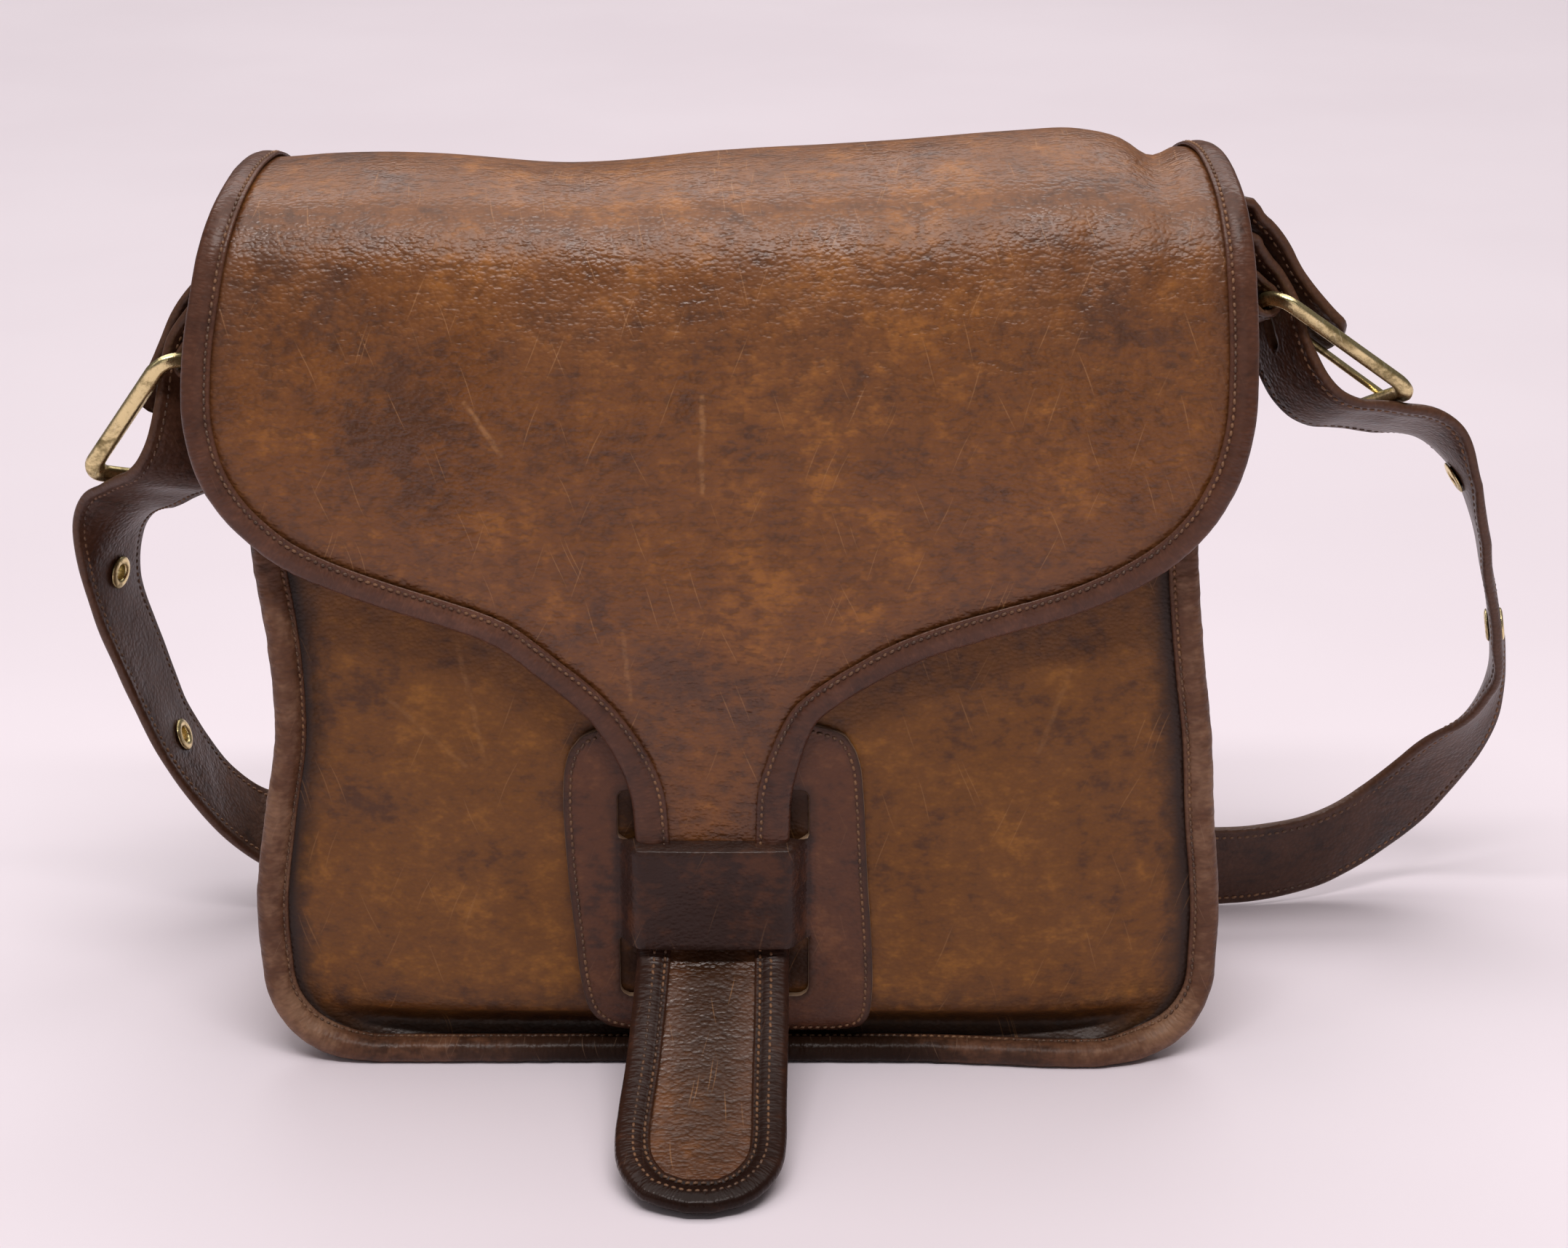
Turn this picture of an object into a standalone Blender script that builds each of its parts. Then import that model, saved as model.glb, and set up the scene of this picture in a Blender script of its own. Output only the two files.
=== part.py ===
"""A soft leather messenger bag that stands with its flap closed.

X runs to the right as the bag is seen from its front, Y to its back and Z up. The origin is on the
ground, under the middle of the body. All sizes below are in millimetres and all angles in degrees.
"""

import math

import bmesh
import bpy
import numpy as np

MM = 0.001

# Thickness of each leather, and the clearance between two layers
FLAP_LEATHER = 2.0
PANEL_LEATHER = 1.6
GUSSET_LEATHER = 1.6
BINDING_LEATHER = 1.0
PATCH_LEATHER = 2.0
TAB_LEATHER = 2.0
STRAP_LEATHER = 3.0
GAP = 0.3
SEAM_GAP = 0.45

# Seam allowance: how far the leather and its binding stand out past the seam
FLANGE = 7.8
BINDING_REACH = 9.6
BINDING_START = 2.1
BINDING_START_AT_FOOT = 2.8
TWIST_ROOM = 0.5

# Body
SEAM_Z = 4.25
BACK_SEAM_Z = 4.45
CORNER_RADIUS = 23.0
CORNER_STEPS = 7
BODY_ROWS = 12
BODY_COLUMNS = 8
BODY_TOP = 230.0

# Half widths of the body at the seam, and the angle by which the front flange is folded forward
# (z, left, right, left_turn, right_turn)
BODY_OUTLINE = [
    (27, 127.0, 126.6, 30, 5),
    (45, 127.8, 126.8, 32, 5),
    (75, 124.6, 124.1, 45, 8),
    (100, 120.9, 122.3, 52, 8),
    (115, 120.8, 120.3, 52, 10),
    (130, 121.4, 118.5, 46, 10),
    (155, 123.8, 116.4, 30, 10),
    (190, 124.4, 116.4, 18, 10),
    (230, 122.6, 117.0, 10, 10),
]

# Depth of the body: where the front and back seams lie, and how far the side walls stand out
# (z, front, back, wall)
BODY_DEPTH = [
    (4, -40.0, 32.0, 1.2),
    (30, -40.0, 32.0, 2.5),
    (90, -40.0, 32.0, 3.0),
    (130, -39.5, 31.5, 0.0),
    (170, -38.0, 30.5, -5.0),
    (205, -36.0, 29.0, -7.0),
    (230, -32.5, 27.2, -5.0),
]

# Sections of the gusset between its two seams
# (share of the depth, share of the wall's stand, 1 where it lies flat at the foot)
GUSSET_SECTIONS = [
    (0.0, 0.0, 0.0), (0.1, 0.7, 1.0), (0.25, 1.0, 1.0), (0.75, 1.0, 1.0), (0.9, 0.7, 1.0), (1.0, 0.0, 0.0),
]

# The foot of the front seam wanders forward between the corners
# (x, forward)
FOOT_SWAY = [(-118, 0.0), (-80, 1.0), (-49, 3.0), (0, 4.5), (48, 6.0), (79, 7.5), (98, 4.5), (118, 0.0)]
SWAY_FADE = 20.0

# Bulge of the front panel past its seam along the middle of the bag
# (z, bulge)
BELLY = [
    (4, 0.0), (6.5, 0.0), (9, 1.2), (13, 4.4), (20, 7.2), (32, 8.0),
    (60, 7.8), (100, 6.6), (150, 4.0), (200, 2.5), (230, 0.5),
]
BACK_BULGE = 2.5

# Sections of the flap from the top of the back to the tip of the tongue. The half widths are
# those of the seam line just inside the binding, measured from x = 0; right is negative where
# the tongue's edge lies left of the middle.
# (y, z, left, right, lift): lift is the share of CROWN_LIFT that the section takes
FLAP_SECTIONS = [
    (27.2, 230.0, 122.6, 117.0, 0.1),
    (26.8, 238.0, 122.9, 117.2, 0.5),
    (23.5, 245.5, 123.6, 117.8, 0.9),
    (15.0, 250.0, 125.0, 120.0, 1.0),
    (1.0, 251.5, 127.2, 123.2, 0.9),
    (-15.0, 250.0, 129.4, 125.6, 0.6),
    (-29.0, 245.5, 131.4, 127.0, 0.4),
    (-37.0, 237.5, 133.8, 128.2, 0.25),
    (-42.5, 225.0, 136.2, 129.2, 0.1),
    (-47.0, 208.0, 138.6, 129.8, 0.0),
    (-50.5, 190.0, 138.3, 128.8, 0.0),
    (-51.8, 178.0, 134.4, 125.2, 0.0),
    (-52.3, 168.5, 127.2, 119.6, 0.0),
    (-52.7, 160.0, 116.3, 110.8, 0.0),
    (-52.9, 152.8, 99.9, 98.6, 0.0),
    (-53.0, 147.2, 83.5, 84.8, 0.0),
    (-53.0, 143.3, 71.6, 71.0, 0.0),
    (-53.0, 139.4, 62.2, 57.4, 0.0),
    (-53.1, 134.0, 54.4, 43.0, 0.0),
    (-53.1, 128.0, 47.2, 32.0, 0.0),
    (-53.1, 122.0, 40.0, 22.6, 0.0),
    (-53.1, 115.5, 33.6, 14.8, 0.0),
    (-53.1, 108.0, 28.4, 10.6, 0.0),
    (-53.1, 99.0, 23.8, 7.6, 0.0),
    (-53.1, 89.0, 20.4, 5.2, 0.0),
    (-53.1, 75.0, 18.9, 4.3, 0.0),
    (-53.1, 56.0, 18.5, 4.0, 0.0),
    (-53.1, 47.5, 18.5, 4.0, 0.0),
    (-53.4, 41.5, 18.6, 4.0, 0.0),
    (-56.8, 36.6, 18.8, 4.0, 0.0),
    (-64.5, 32.2, 19.2, 4.0, 0.0),
    (-76.0, 26.0, 20.0, 3.9, 0.0),
    (-89.0, 19.2, 21.0, 3.6, 0.0),
    (-102.0, 13.5, 22.4, 3.4, 0.0),
    (-112.0, 9.8, 23.0, 3.3, 0.0),
    (-118.0, 8.0, 22.4, 2.6, 0.0),
    (-122.5, 6.8, 20.4, 0.4, 0.0),
    (-125.6, 6.0, 17.6, -2.6, 0.0),
    (-127.2, 5.6, 13.6, -5.4, 0.0),
]
SECTION_STEP = 17.0

# Height of the crown above its section, from the left end to the hollow and hump at the right
# (x, lift)
CROWN_LIFT = [
    (-134, 2.0), (-85, 1.0), (-44, -2.0), (-3, 1.0), (38, 4.4), (79, 7.4),
    (95, 8.0), (106, 6.0), (114, 1.8), (124, 6.0), (134, 6.0),
]
# The flap's sides curl back by this much at its edges
FLAP_CURL = 2.0

# Keeper patch (z, left, right), left and right as distances from x = 0
PATCH_OUTLINE = [
    (10.5, 29.0, 28.0), (11.8, 35.0, 33.0), (14.6, 40.0, 36.2), (18.6, 43.0, 37.4),
    (23.0, 44.2, 37.8), (41.5, 46.4, 37.4), (48.0, 47.0, 37.0), (57.0, 47.8, 36.4),
    (66.0, 48.4, 35.9), (72.0, 48.7, 35.6), (86.0, 48.9, 34.8), (94.0, 48.0, 33.8),
    (99.5, 45.6, 31.6), (103.5, 40.5, 27.6), (105.5, 33.0, 21.5),
]
SLOT_LEFT = -33.8
SLOT_RIGHT = 19.6
LOWER_SLOT = (23.0, 41.5)
UPPER_SLOT = (72.0, 86.0)
BRIDGE_RISE = 7.9
BRIDGE_SHOULDER = 4.6
BRIDGE_HALF_WAY = 3.0
BRIDGE_COLUMNS = [-21.0, -7.0, 7.0]
PATCH_RIM = 4.0
PATCH_GAP = 0.5
PATCH_HALF_BODY = 125.0

# Buckles: a rectangular frame whose heel bar is held by the tab and whose front bar holds the strap
# (side, middle of the frame, direction down its rails, direction along its bars)
BUCKLES = [
    ("left", (-159.1, 8.8, 174.9), (-0.55, 0.275, -0.79), (0.76, 0.58, -0.28)),
    ("right", (161.5, 5.7, 195.7), (0.81, 0.044, -0.585), (0.385, -0.812, 0.438)),
]
FRAME_LENGTH = 47.0
FRAME_WIDTH = 36.0
FRAME_CORNER = 5.0
FRAME_CORNER_STEPS = 3
FRAME_SECTION = [(-2.2, -0.8), (-2.2, 0.8), (0.0, 1.8), (2.2, 0.8), (2.2, -0.8), (0.0, -1.8)]
# The rails and the front bar are wider on their outer side than the heel bar
RAIL_GROWTH = 0.3
PRONG_RADIUS = 1.1
PRONG_TURN = 3.8
PRONG_TIP = 27.0

# Tabs: the wrap round the heel bar as (down the rails, along the bars, towards the bag)
TAB_WIDTH = 26.0
TAB_WALL_Y = -3.0
TAB_WALL_GAP = 0.6
TAB_TURN = 3.75
TAB_TURN_STEPS = 6
TAB_BEND = 1.5
TAB_WALL_LEVELS = [226.0, 219.0, 212.0]
TAB_OUT = [(-40.5, 3.4, -2.6), (-34.0, 2.2, -3.6), (-28.0, 0.8, -3.75)]
TAB_BACK = [(-28.0, 0.8, 2.9), (-31.5, 1.6, 0.6), (-35.0, 2.4, -1.0), (-40.0, 3.3, -0.3)]
PRONG_SLOT = 5.0

# Strap
STRAP_WIDTH = 30.0
STRAP_STEP = 15.0
STRAP_STEP_AT_BUCKLE = 4.5
# Its route past each buckle as (down the rails, along the bars, towards the bag)
STRAP_AT_BUCKLE = [
    (4.0, 0.5, -6.6), (-3.0, 0.5, -6.9), (-11.0, 0.8, -8.6), (-19.0, 1.2, -11.2), (-27.0, 2.0, -14.6),
    (-34.0, 3.6, -16.2), (-40.0, 5.0, -16.6), (-45.2, 6.2, -16.6), (-47.7, 6.6, -13.8), (-45.2, 6.0, -11.0),
    (-39.0, 3.6, -10.4), (-32.0, 1.2, -9.4), (-24.0, 0.0, -7.9), (-16.8, 0.0, -3.9), (-10.6, 0.0, 2.0),
    (-4.6, 0.0, 6.6), (1.5, 0.0, 9.9), (8.0, 0.0, 11.2), (14.0, 0.0, 9.9), (19.0, 0.0, 7.1),
    (23.5, 0.0, 4.7), (28.0, 0.0, 2.6), (33.0, 0.0, 0.0),
]
# The rows between which the prong passes through the strap
SLOT_FROM = 12
SLOT_TO = 14
# Its route from the left buckle, round behind the bag, to the right one
# (x, y, z, direction across the strap x, y, z)
STRAP_ROUTE = [
    (-186.0, 28.6, 129.5, 0.45, 0.88, 0.12), (-186.0, 32.0, 113.4, 0.25, 0.95, 0.18),
    (-182.4, 35.2, 97.1, 0.18, 0.96, 0.2), (-178.3, 38.6, 81.1, 0.14, 0.97, 0.2),
    (-174.0, 42.0, 65.9, 0.08, 0.97, 0.22), (-167.5, 46.2, 50.9, 0.02, 0.97, 0.26),
    (-159.9, 51.0, 37.6, -0.03, 0.95, 0.32), (-150.5, 57.0, 26.6, -0.05, 0.9, 0.42),
    (-133.0, 65.0, 18.4, -0.04, 0.72, 0.69), (-110.0, 70.5, 15.9, 0.0, 0.42, 0.91),
    (-80.0, 73.0, 15.4, 0.0, 0.2, 0.98), (-45.0, 73.0, 15.3, 0.0, 0.1, 1.0),
    (-5.0, 71.0, 15.2, 0.0, 0.05, 1.0), (35.0, 67.0, 15.2, 0.0, 0.0, 1.0),
    (75.0, 61.0, 15.2, 0.0, -0.05, 1.0), (110.0, 55.0, 15.3, 0.0, -0.12, 0.99),
    (137.0, 52.0, 15.3, -0.02, -0.2, 0.98),
    (160.0, 53.0, 15.8, -0.06, -0.24, 0.97), (181.0, 57.5, 19.0, -0.1, -0.28, 0.95),
    (200.0, 61.5, 29.0, -0.14, -0.36, 0.92), (216.0, 59.5, 47.0, -0.15, -0.5, 0.85),
    (226.6, 53.5, 67.0, -0.12, -0.68, 0.72), (229.2, 46.0, 86.0, -0.16, -0.82, 0.57),
    (226.2, 37.5, 104.5, -0.2, -0.9, 0.4), (221.0, 30.0, 123.7, -0.2, -0.91, 0.35),
    (215.5, 23.0, 142.0, -0.18, -0.91, 0.36), (207.5, 17.0, 159.5, -0.08, -0.92, 0.37),
    (198.6, 12.3, 170.8, 0.14, -0.89, 0.41),
]
EYELET_HOLE = 3.5
EYELET_OUTER = 5.0
EYELET_BORE = 2.4
EYELET_SIDES = 12
EYELET_GAP = 0.5
EYELET_RIM = 0.8
# Distance of each eyelet from the strap's ends
EYELETS = [("left", 1, 181.0), ("left", 2, 232.0), ("right", 1, 181.0), ("right", 2, 232.0)]


def smooth_table(table, column, at):
    """A column of a table against its first column, as a smooth curve through the rows."""
    xs = np.array([row[0] for row in table], float)
    ys = np.array([row[column] for row in table], float)
    return smooth_curve(xs, ys, at)


def smooth_curve(xs, ys, at):
    """Cubic through (xs, ys) with slopes read from each point's neighbours; flat beyond its ends."""
    at = np.clip(np.asarray(at, float), xs[0], xs[-1])
    slopes = np.gradient(ys, xs, axis=0)
    index = np.clip(np.searchsorted(xs, at, side="right") - 1, 0, len(xs) - 2)
    width = xs[index + 1] - xs[index]
    t = (at - xs[index]) / width
    if ys.ndim > 1:
        t = t[..., None]
        width = width[..., None]
    start = (1 + 2 * t) * (1 - t) ** 2 * ys[index] + t * (1 - t) ** 2 * width * slopes[index]
    end = t * t * (3 - 2 * t) * ys[index + 1] + t * t * (t - 1) * width * slopes[index + 1]
    return start + end


def smooth_step(t):
    t = np.clip(t, 0.0, 1.0)
    return t * t * (3 - 2 * t)


def unit(vectors):
    vectors = np.asarray(vectors, float)
    return vectors / np.linalg.norm(vectors, axis=-1, keepdims=True)


def front_seam_y(x, z):
    fade = 1 - smooth_step((np.asarray(z, float) - SEAM_Z) / SWAY_FADE)
    return smooth_table(BODY_DEPTH, 1, z) - fade * smooth_table(FOOT_SWAY, 1, x)


def belly_y(u, x, z):
    """Middle of the front panel's leather: u runs from -1 at the left seam to 1 at the right."""
    bulge = smooth_table(BELLY, 1, z) * (1 - np.abs(u) ** 4)
    at_seam = np.abs(u) ** 4
    return front_seam_y(x, z) * at_seam + smooth_table(BODY_DEPTH, 1, z) * (1 - at_seam) - bulge


def foot_turn(step):
    """Share of the right angle by which the seam is turned flat at a step of the round corner."""
    return float(smooth_step(1 - (step - 0.5) / (CORNER_STEPS - 0.5)))


def body_levels(bottom):
    """(z, left, right, turn share) of the body's rows: the round corners first, then up to the top."""
    first = bottom + CORNER_RADIUS
    levels = []
    for step in range(CORNER_STEPS):
        angle = math.pi / 2 * step / CORNER_STEPS
        inset = CORNER_RADIUS * (1 - math.sin(angle))
        z = bottom + CORNER_RADIUS * (1 - math.cos(angle))
        left = smooth_table(BODY_OUTLINE, 1, first) - inset
        right = smooth_table(BODY_OUTLINE, 2, first) - inset
        levels.append((z, float(left), float(right), foot_turn(step)))
    for z in np.linspace(first, BODY_TOP, BODY_ROWS):
        left = smooth_table(BODY_OUTLINE, 1, z)
        right = smooth_table(BODY_OUTLINE, 2, z)
        levels.append((float(z), float(left), float(right), 0.0))
    return levels


def grid_faces(rows, columns, keep=None):
    faces = []
    for i in range(rows - 1):
        for j in range(columns - 1):
            if keep is None or keep(i, j):
                a = i * columns + j
                faces.append((a, a + 1, a + 1 + columns, a + columns))
    return faces


def split_columns(faces, columns, forward=(), backward=()):
    """Cuts the quads of the named columns in two, so that layers that lie together bend alike."""
    cut = []
    for a, b, c, d in faces:
        column = min(a, b, c, d) % columns
        if column in forward:
            cut += [(a, b, c), (a, c, d)]
        elif column in backward:
            cut += [(a, b, d), (b, c, d)]
        else:
            cut.append((a, b, c, d))
    return cut


def ring_faces(rings, columns):
    """Faces of a grid that closes on itself along its rows."""
    last = (rings - 1) * columns
    joint = [(last + j, last + j + 1, j + 1, j) for j in range(columns - 1)]
    return grid_faces(rings, columns) + joint


def tube_faces(rings, sides, closed):
    """Faces of a tube whose rings each have this many points; open ends are capped."""
    faces = []
    for i in range(rings if closed else rings - 1):
        here = i * sides
        there = (i + 1) % rings * sides
        for j in range(sides):
            after = (j + 1) % sides
            faces.append((here + j, here + after, there + after, there + j))
    if not closed:
        faces.append(tuple(reversed(range(sides))))
        faces.append(tuple((rings - 1) * sides + j for j in range(sides)))
    return faces


def edge_directions(edge, normals, turns, closed):
    """For each point of a sheet's edge: the direction out along its flange, and the flange's normal."""
    if closed:
        along = np.roll(edge, -1, axis=0) - np.roll(edge, 1, axis=0)
    else:
        along = np.gradient(edge, axis=0)
    outward = unit(np.cross(unit(along), normals))
    normals = unit(np.cross(outward, unit(along)))
    cosine = np.cos(np.radians(turns))[:, None]
    sine = np.sin(np.radians(turns))[:, None]
    return unit(cosine * outward + sine * normals), unit(cosine * normals - sine * outward)


def add_flange(points, faces, edge_index, outward, reach, closed):
    """Adds a strip that continues a sheet past its edge."""
    first = len(points)
    points = np.vstack([points, points[edge_index] + outward * reach])
    count = len(edge_index)
    for k in range(count if closed else count - 1):
        after = (k + 1) % count
        faces.append((edge_index[k], edge_index[after], first + after))
        faces.append((edge_index[k], first + after, first + k))
    return points, faces


def finish(name, colour, roughness, metallic=0.0):
    material = bpy.data.materials.new(name)
    material.use_nodes = True
    shader = material.node_tree.nodes["Principled BSDF"]
    shader.inputs["Base Color"].default_value = (*colour, 1.0)
    shader.inputs["Roughness"].default_value = roughness
    shader.inputs["Metallic"].default_value = metallic
    return material


def add_object(name, points, faces, material):
    mesh = bpy.data.meshes.new(name)
    mesh.from_pydata((np.asarray(points) * MM).tolist(), [], [list(face) for face in faces])
    build = bmesh.new()
    build.from_mesh(mesh)
    bmesh.ops.recalc_face_normals(build, faces=build.faces)
    build.to_mesh(mesh)
    build.free()
    mesh.shade_smooth()
    mesh.set_sharp_from_angle(angle=math.radians(50))
    if material:
        mesh.materials.append(material)
    thing = bpy.data.objects.new(name, mesh)
    bpy.context.scene.collection.objects.link(thing)
    return thing


def add_leather(name, points, faces, thickness, material):
    """A sheet of leather, given by the middle of its thickness."""
    sheet = add_object(name, points, faces, material)
    solidify = sheet.modifiers.new("thickness", "SOLIDIFY")
    solidify.thickness = thickness * MM
    solidify.offset = 0.0
    solidify.use_even_offset = True
    solidify.use_quality_normals = True
    return sheet


def binding_strip(edge, outward, normals, outer, inner, start, closed):
    """The folded binding: from the outer side of the edge, round it, to the inner side."""
    points = []
    for k, place in enumerate(edge):
        high = outer[k]
        low = -inner[k]
        section = [(start[k], high), (BINDING_REACH, high), (BINDING_REACH, low), (start[k], low)]
        points.extend(place + outward[k] * reach + normals[k] * side for reach, side in section)
    count = len(edge)
    faces = ring_faces(count, 4) if closed else grid_faces(count, 4)
    return np.array(points), split_columns(faces, 4, forward=(0,), backward=(2,))


def front_sheet():
    """The front panel's grid, and its seam from the top left, round the bottom, to the top right."""
    levels = body_levels(SEAM_Z)
    columns = BODY_COLUMNS
    across = np.linspace(-1, 1, columns + 1)
    points = []
    for z, left, right, _ in levels:
        x = -left + (across + 1) / 2 * (left + right)
        points.append(np.column_stack([x, belly_y(across, x, z), np.full(columns + 1, z)]))
    count = len(levels)
    width = columns + 1
    left_side = [i * width for i in reversed(range(count))]
    right_side = [i * width + columns for i in range(count)]
    seam = left_side + list(range(1, columns)) + right_side
    left_turn = [side_turn(levels[i], 3) for i in reversed(range(count))]
    right_turn = [side_turn(levels[i], 4) for i in range(count)]
    turns = np.array(left_turn + [90.0] * (columns - 1) + right_turn)
    return np.vstack(points), count, width, seam, turns


def side_turn(level, column):
    turn = float(smooth_table(BODY_OUTLINE, column, level[0]))
    return turn + (90 - turn) * level[3]


def front_seam():
    points, _, _, seam, turns = front_sheet()
    edge = points[seam]
    normals = np.tile([0.0, -1.0, 0.0], (len(edge), 1))
    outward, normals = edge_directions(edge, normals, turns, closed=False)
    return edge, outward, normals


def back_seam():
    """The back seam, with a point for each point of the front seam, from the flap's own seam."""
    edge, outward, normals, _, back_rows = back_flap_seam()
    count = len(flap_rows()[0])
    columns = BODY_COLUMNS - 1
    left_side = list(reversed(range(back_rows + 1)))
    right_side = [2 * count + columns - 1 - row for row in range(back_rows + 1)]
    foot = list(reversed(range(len(edge) - columns, len(edge))))
    order = left_side + foot + right_side
    return edge[order], outward[order], normals[order]


def make_front_panel(material):
    points, rows, width, seam, _ = front_sheet()
    faces = grid_faces(rows, width)
    _, outward, _ = front_seam()
    points, faces = add_flange(points, faces, seam, outward, FLANGE, closed=False)
    return add_leather("front_panel", points, faces, PANEL_LEATHER, material)


def gusset_sheet():
    """The gusset's grid, one row for each point of the seams: flange, wall across the depth, flange."""
    front_edge, front_out, front_normal = front_seam()
    back_edge, back_out, back_normal = back_seam()
    front_edge = front_edge - front_normal * (PANEL_LEATHER / 2 + SEAM_GAP + GUSSET_LEATHER / 2)
    back_edge = back_edge - back_normal * (FLAP_LEATHER / 2 + SEAM_GAP + GUSSET_LEATHER / 2)
    facing = np.tile([0.0, -1.0, 0.0], (len(front_edge), 1))
    flat_out, _ = edge_directions(front_edge, facing, np.zeros(len(front_edge)), closed=False)
    rows = []
    for k in range(len(front_edge)):
        wall = float(smooth_table(BODY_DEPTH, 3, front_edge[k][2]))
        at_foot = front_edge[k][2] < SEAM_Z and back_edge[k][2] < SEAM_Z
        row = [front_edge[k] + front_out[k] * FLANGE]
        for share, on_side, on_foot in GUSSET_SECTIONS:
            place = front_edge[k] * (1 - share) + back_edge[k] * share
            place = place + flat_out[k] * wall * on_side
            if at_foot and on_foot:
                place[2] = GUSSET_LEATHER / 2
            row.append(place)
        row.append(back_edge[k] + back_out[k] * FLANGE)
        rows.append(row)
    return np.array(rows)


def make_gusset(material):
    """Sides and bottom in one strip; the bag rests on the flat of its bottom."""
    rows = gusset_sheet()
    count, columns, _ = rows.shape
    faces = split_columns(grid_faces(count, columns), columns, backward=(0, columns - 2))
    return add_leather("gusset", rows.reshape(-1, 3), faces, GUSSET_LEATHER, material)


def binding_start(turns):
    return BINDING_START + (BINDING_START_AT_FOOT - BINDING_START) * np.asarray(turns) / 90.0


def twist_room(turns):
    """Extra clearance under the binding where the seam twists from upright to flat."""
    change = np.abs(np.diff(turns, append=turns[0]))
    change[-1] = 0.0
    twist = np.maximum(change, np.roll(change, 1))
    return np.where(np.asarray(turns) < 89.0, TWIST_ROOM * np.minimum(1.0, twist / 12.0), 0.0)


def make_front_binding(material):
    edge, outward, normals = front_seam()
    turns = front_sheet()[4]
    room = twist_room(turns)
    outer = room + PANEL_LEATHER / 2 + GAP + BINDING_LEATHER / 2
    inner = room + PANEL_LEATHER / 2 + SEAM_GAP + GUSSET_LEATHER + GAP + BINDING_LEATHER / 2
    start = binding_start(turns)
    points, faces = binding_strip(edge, outward, normals, outer, inner, start, closed=False)
    return add_leather("front_binding", points, faces, BINDING_LEATHER, material)


def flap_rows():
    """Sections of the back and flap as (y, z, left, right, lift), with each one's outward normal."""
    table = np.array(FLAP_SECTIONS, float)
    steps = np.linalg.norm(np.diff(table[:, :2], axis=0), axis=1)
    run = np.concatenate([[0.0], np.cumsum(steps)])
    places = [0.0]
    for start, length in zip(run[:-1], steps):
        parts = max(1, math.ceil(length / SECTION_STEP))
        places += [start + length * (k + 1) / parts for k in range(parts)]
    flap = smooth_curve(run, table, np.array(places))
    back = []
    for z, left, right, _ in body_levels(BACK_SEAM_Z)[:-1]:
        back.append((float(smooth_table(BODY_DEPTH, 2, z)), z, left, right, 0.0))
    return np.vstack([np.array(back), flap]), len(back)


def back_flap_sheet():
    """The grid of the back, flap and tongue, its seam line all round and what that needs."""
    rows, back_rows = flap_rows()
    across = np.linspace(-1, 1, BODY_COLUMNS + 1)
    path = rows[:, :2]
    slope = np.gradient(path, axis=0)
    slope[0] = (0.0, 1.0)
    normals = unit(np.column_stack([np.zeros(len(rows)), slope[:, 1], -slope[:, 0]]))
    points = []
    for index, (y, z, left, right, lift) in enumerate(rows):
        x = -left + (across + 1) / 2 * (left + right)
        raise_by = lift * smooth_table(CROWN_LIFT, 1, x)
        curl = FLAP_CURL * smooth_step((left + right - 60) / 120) * across ** 4
        if index < back_rows:
            curl = -BACK_BULGE * math.sin(math.pi * min(1.0, z / BODY_TOP)) * (1 - across ** 4)
        row = np.column_stack([x, np.full(len(x), y), np.full(len(x), z)])
        row -= normals[index] * curl[:, None]
        row[:, 2] += raise_by
        points.append(row)
    points = np.vstack(points)
    count = len(rows)
    width = BODY_COLUMNS + 1
    left_side = [i * width for i in range(count)]
    tip = [(count - 1) * width + j for j in range(1, BODY_COLUMNS)]
    right_side = [i * width + BODY_COLUMNS for i in reversed(range(count))]
    foot = [j for j in reversed(range(1, BODY_COLUMNS))]
    seam = left_side + tip + right_side + foot
    seam_rows = (
        list(range(count)) + [count - 1] * len(tip) + list(reversed(range(count))) + [0] * len(foot)
    )
    turns = np.zeros(len(seam))
    for k, row in enumerate(seam_rows):
        turns[k] = 90 * foot_turn(row)
    return points, count, width, seam, np.array(seam_rows), turns, normals, back_rows


def back_flap_seam():
    points, _, _, seam, seam_rows, turns, normals, back_rows = back_flap_sheet()
    outward, side = edge_directions(points[seam], normals[seam_rows], turns, closed=True)
    return points[seam], outward, side, seam_rows, back_rows


def make_back_flap(material):
    points, rows, width, seam, _, _, _, _ = back_flap_sheet()
    _, outward, _, _, _ = back_flap_seam()
    faces = grid_faces(rows, width)
    points, faces = add_flange(points, faces, seam, outward, FLANGE, closed=True)
    return add_leather("back_flap", points, faces, FLAP_LEATHER, material)


def make_back_flap_binding(material):
    edge, outward, normals, rows, back_rows = back_flap_seam()
    single = FLAP_LEATHER / 2 + GAP + BINDING_LEATHER / 2
    over_gusset = single + GUSSET_LEATHER + SEAM_GAP
    share = smooth_step((rows - back_rows - 0.5) / 2.0)
    turns = back_flap_sheet()[5]
    room = twist_room(turns)
    outer = room + single
    inner = room + over_gusset * (1 - share) + single * share
    start = binding_start(turns)
    points, faces = binding_strip(edge, outward, normals, outer, inner, start, closed=True)
    return add_leather("back_flap_binding", points, faces, BINDING_LEATHER, material)


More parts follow.
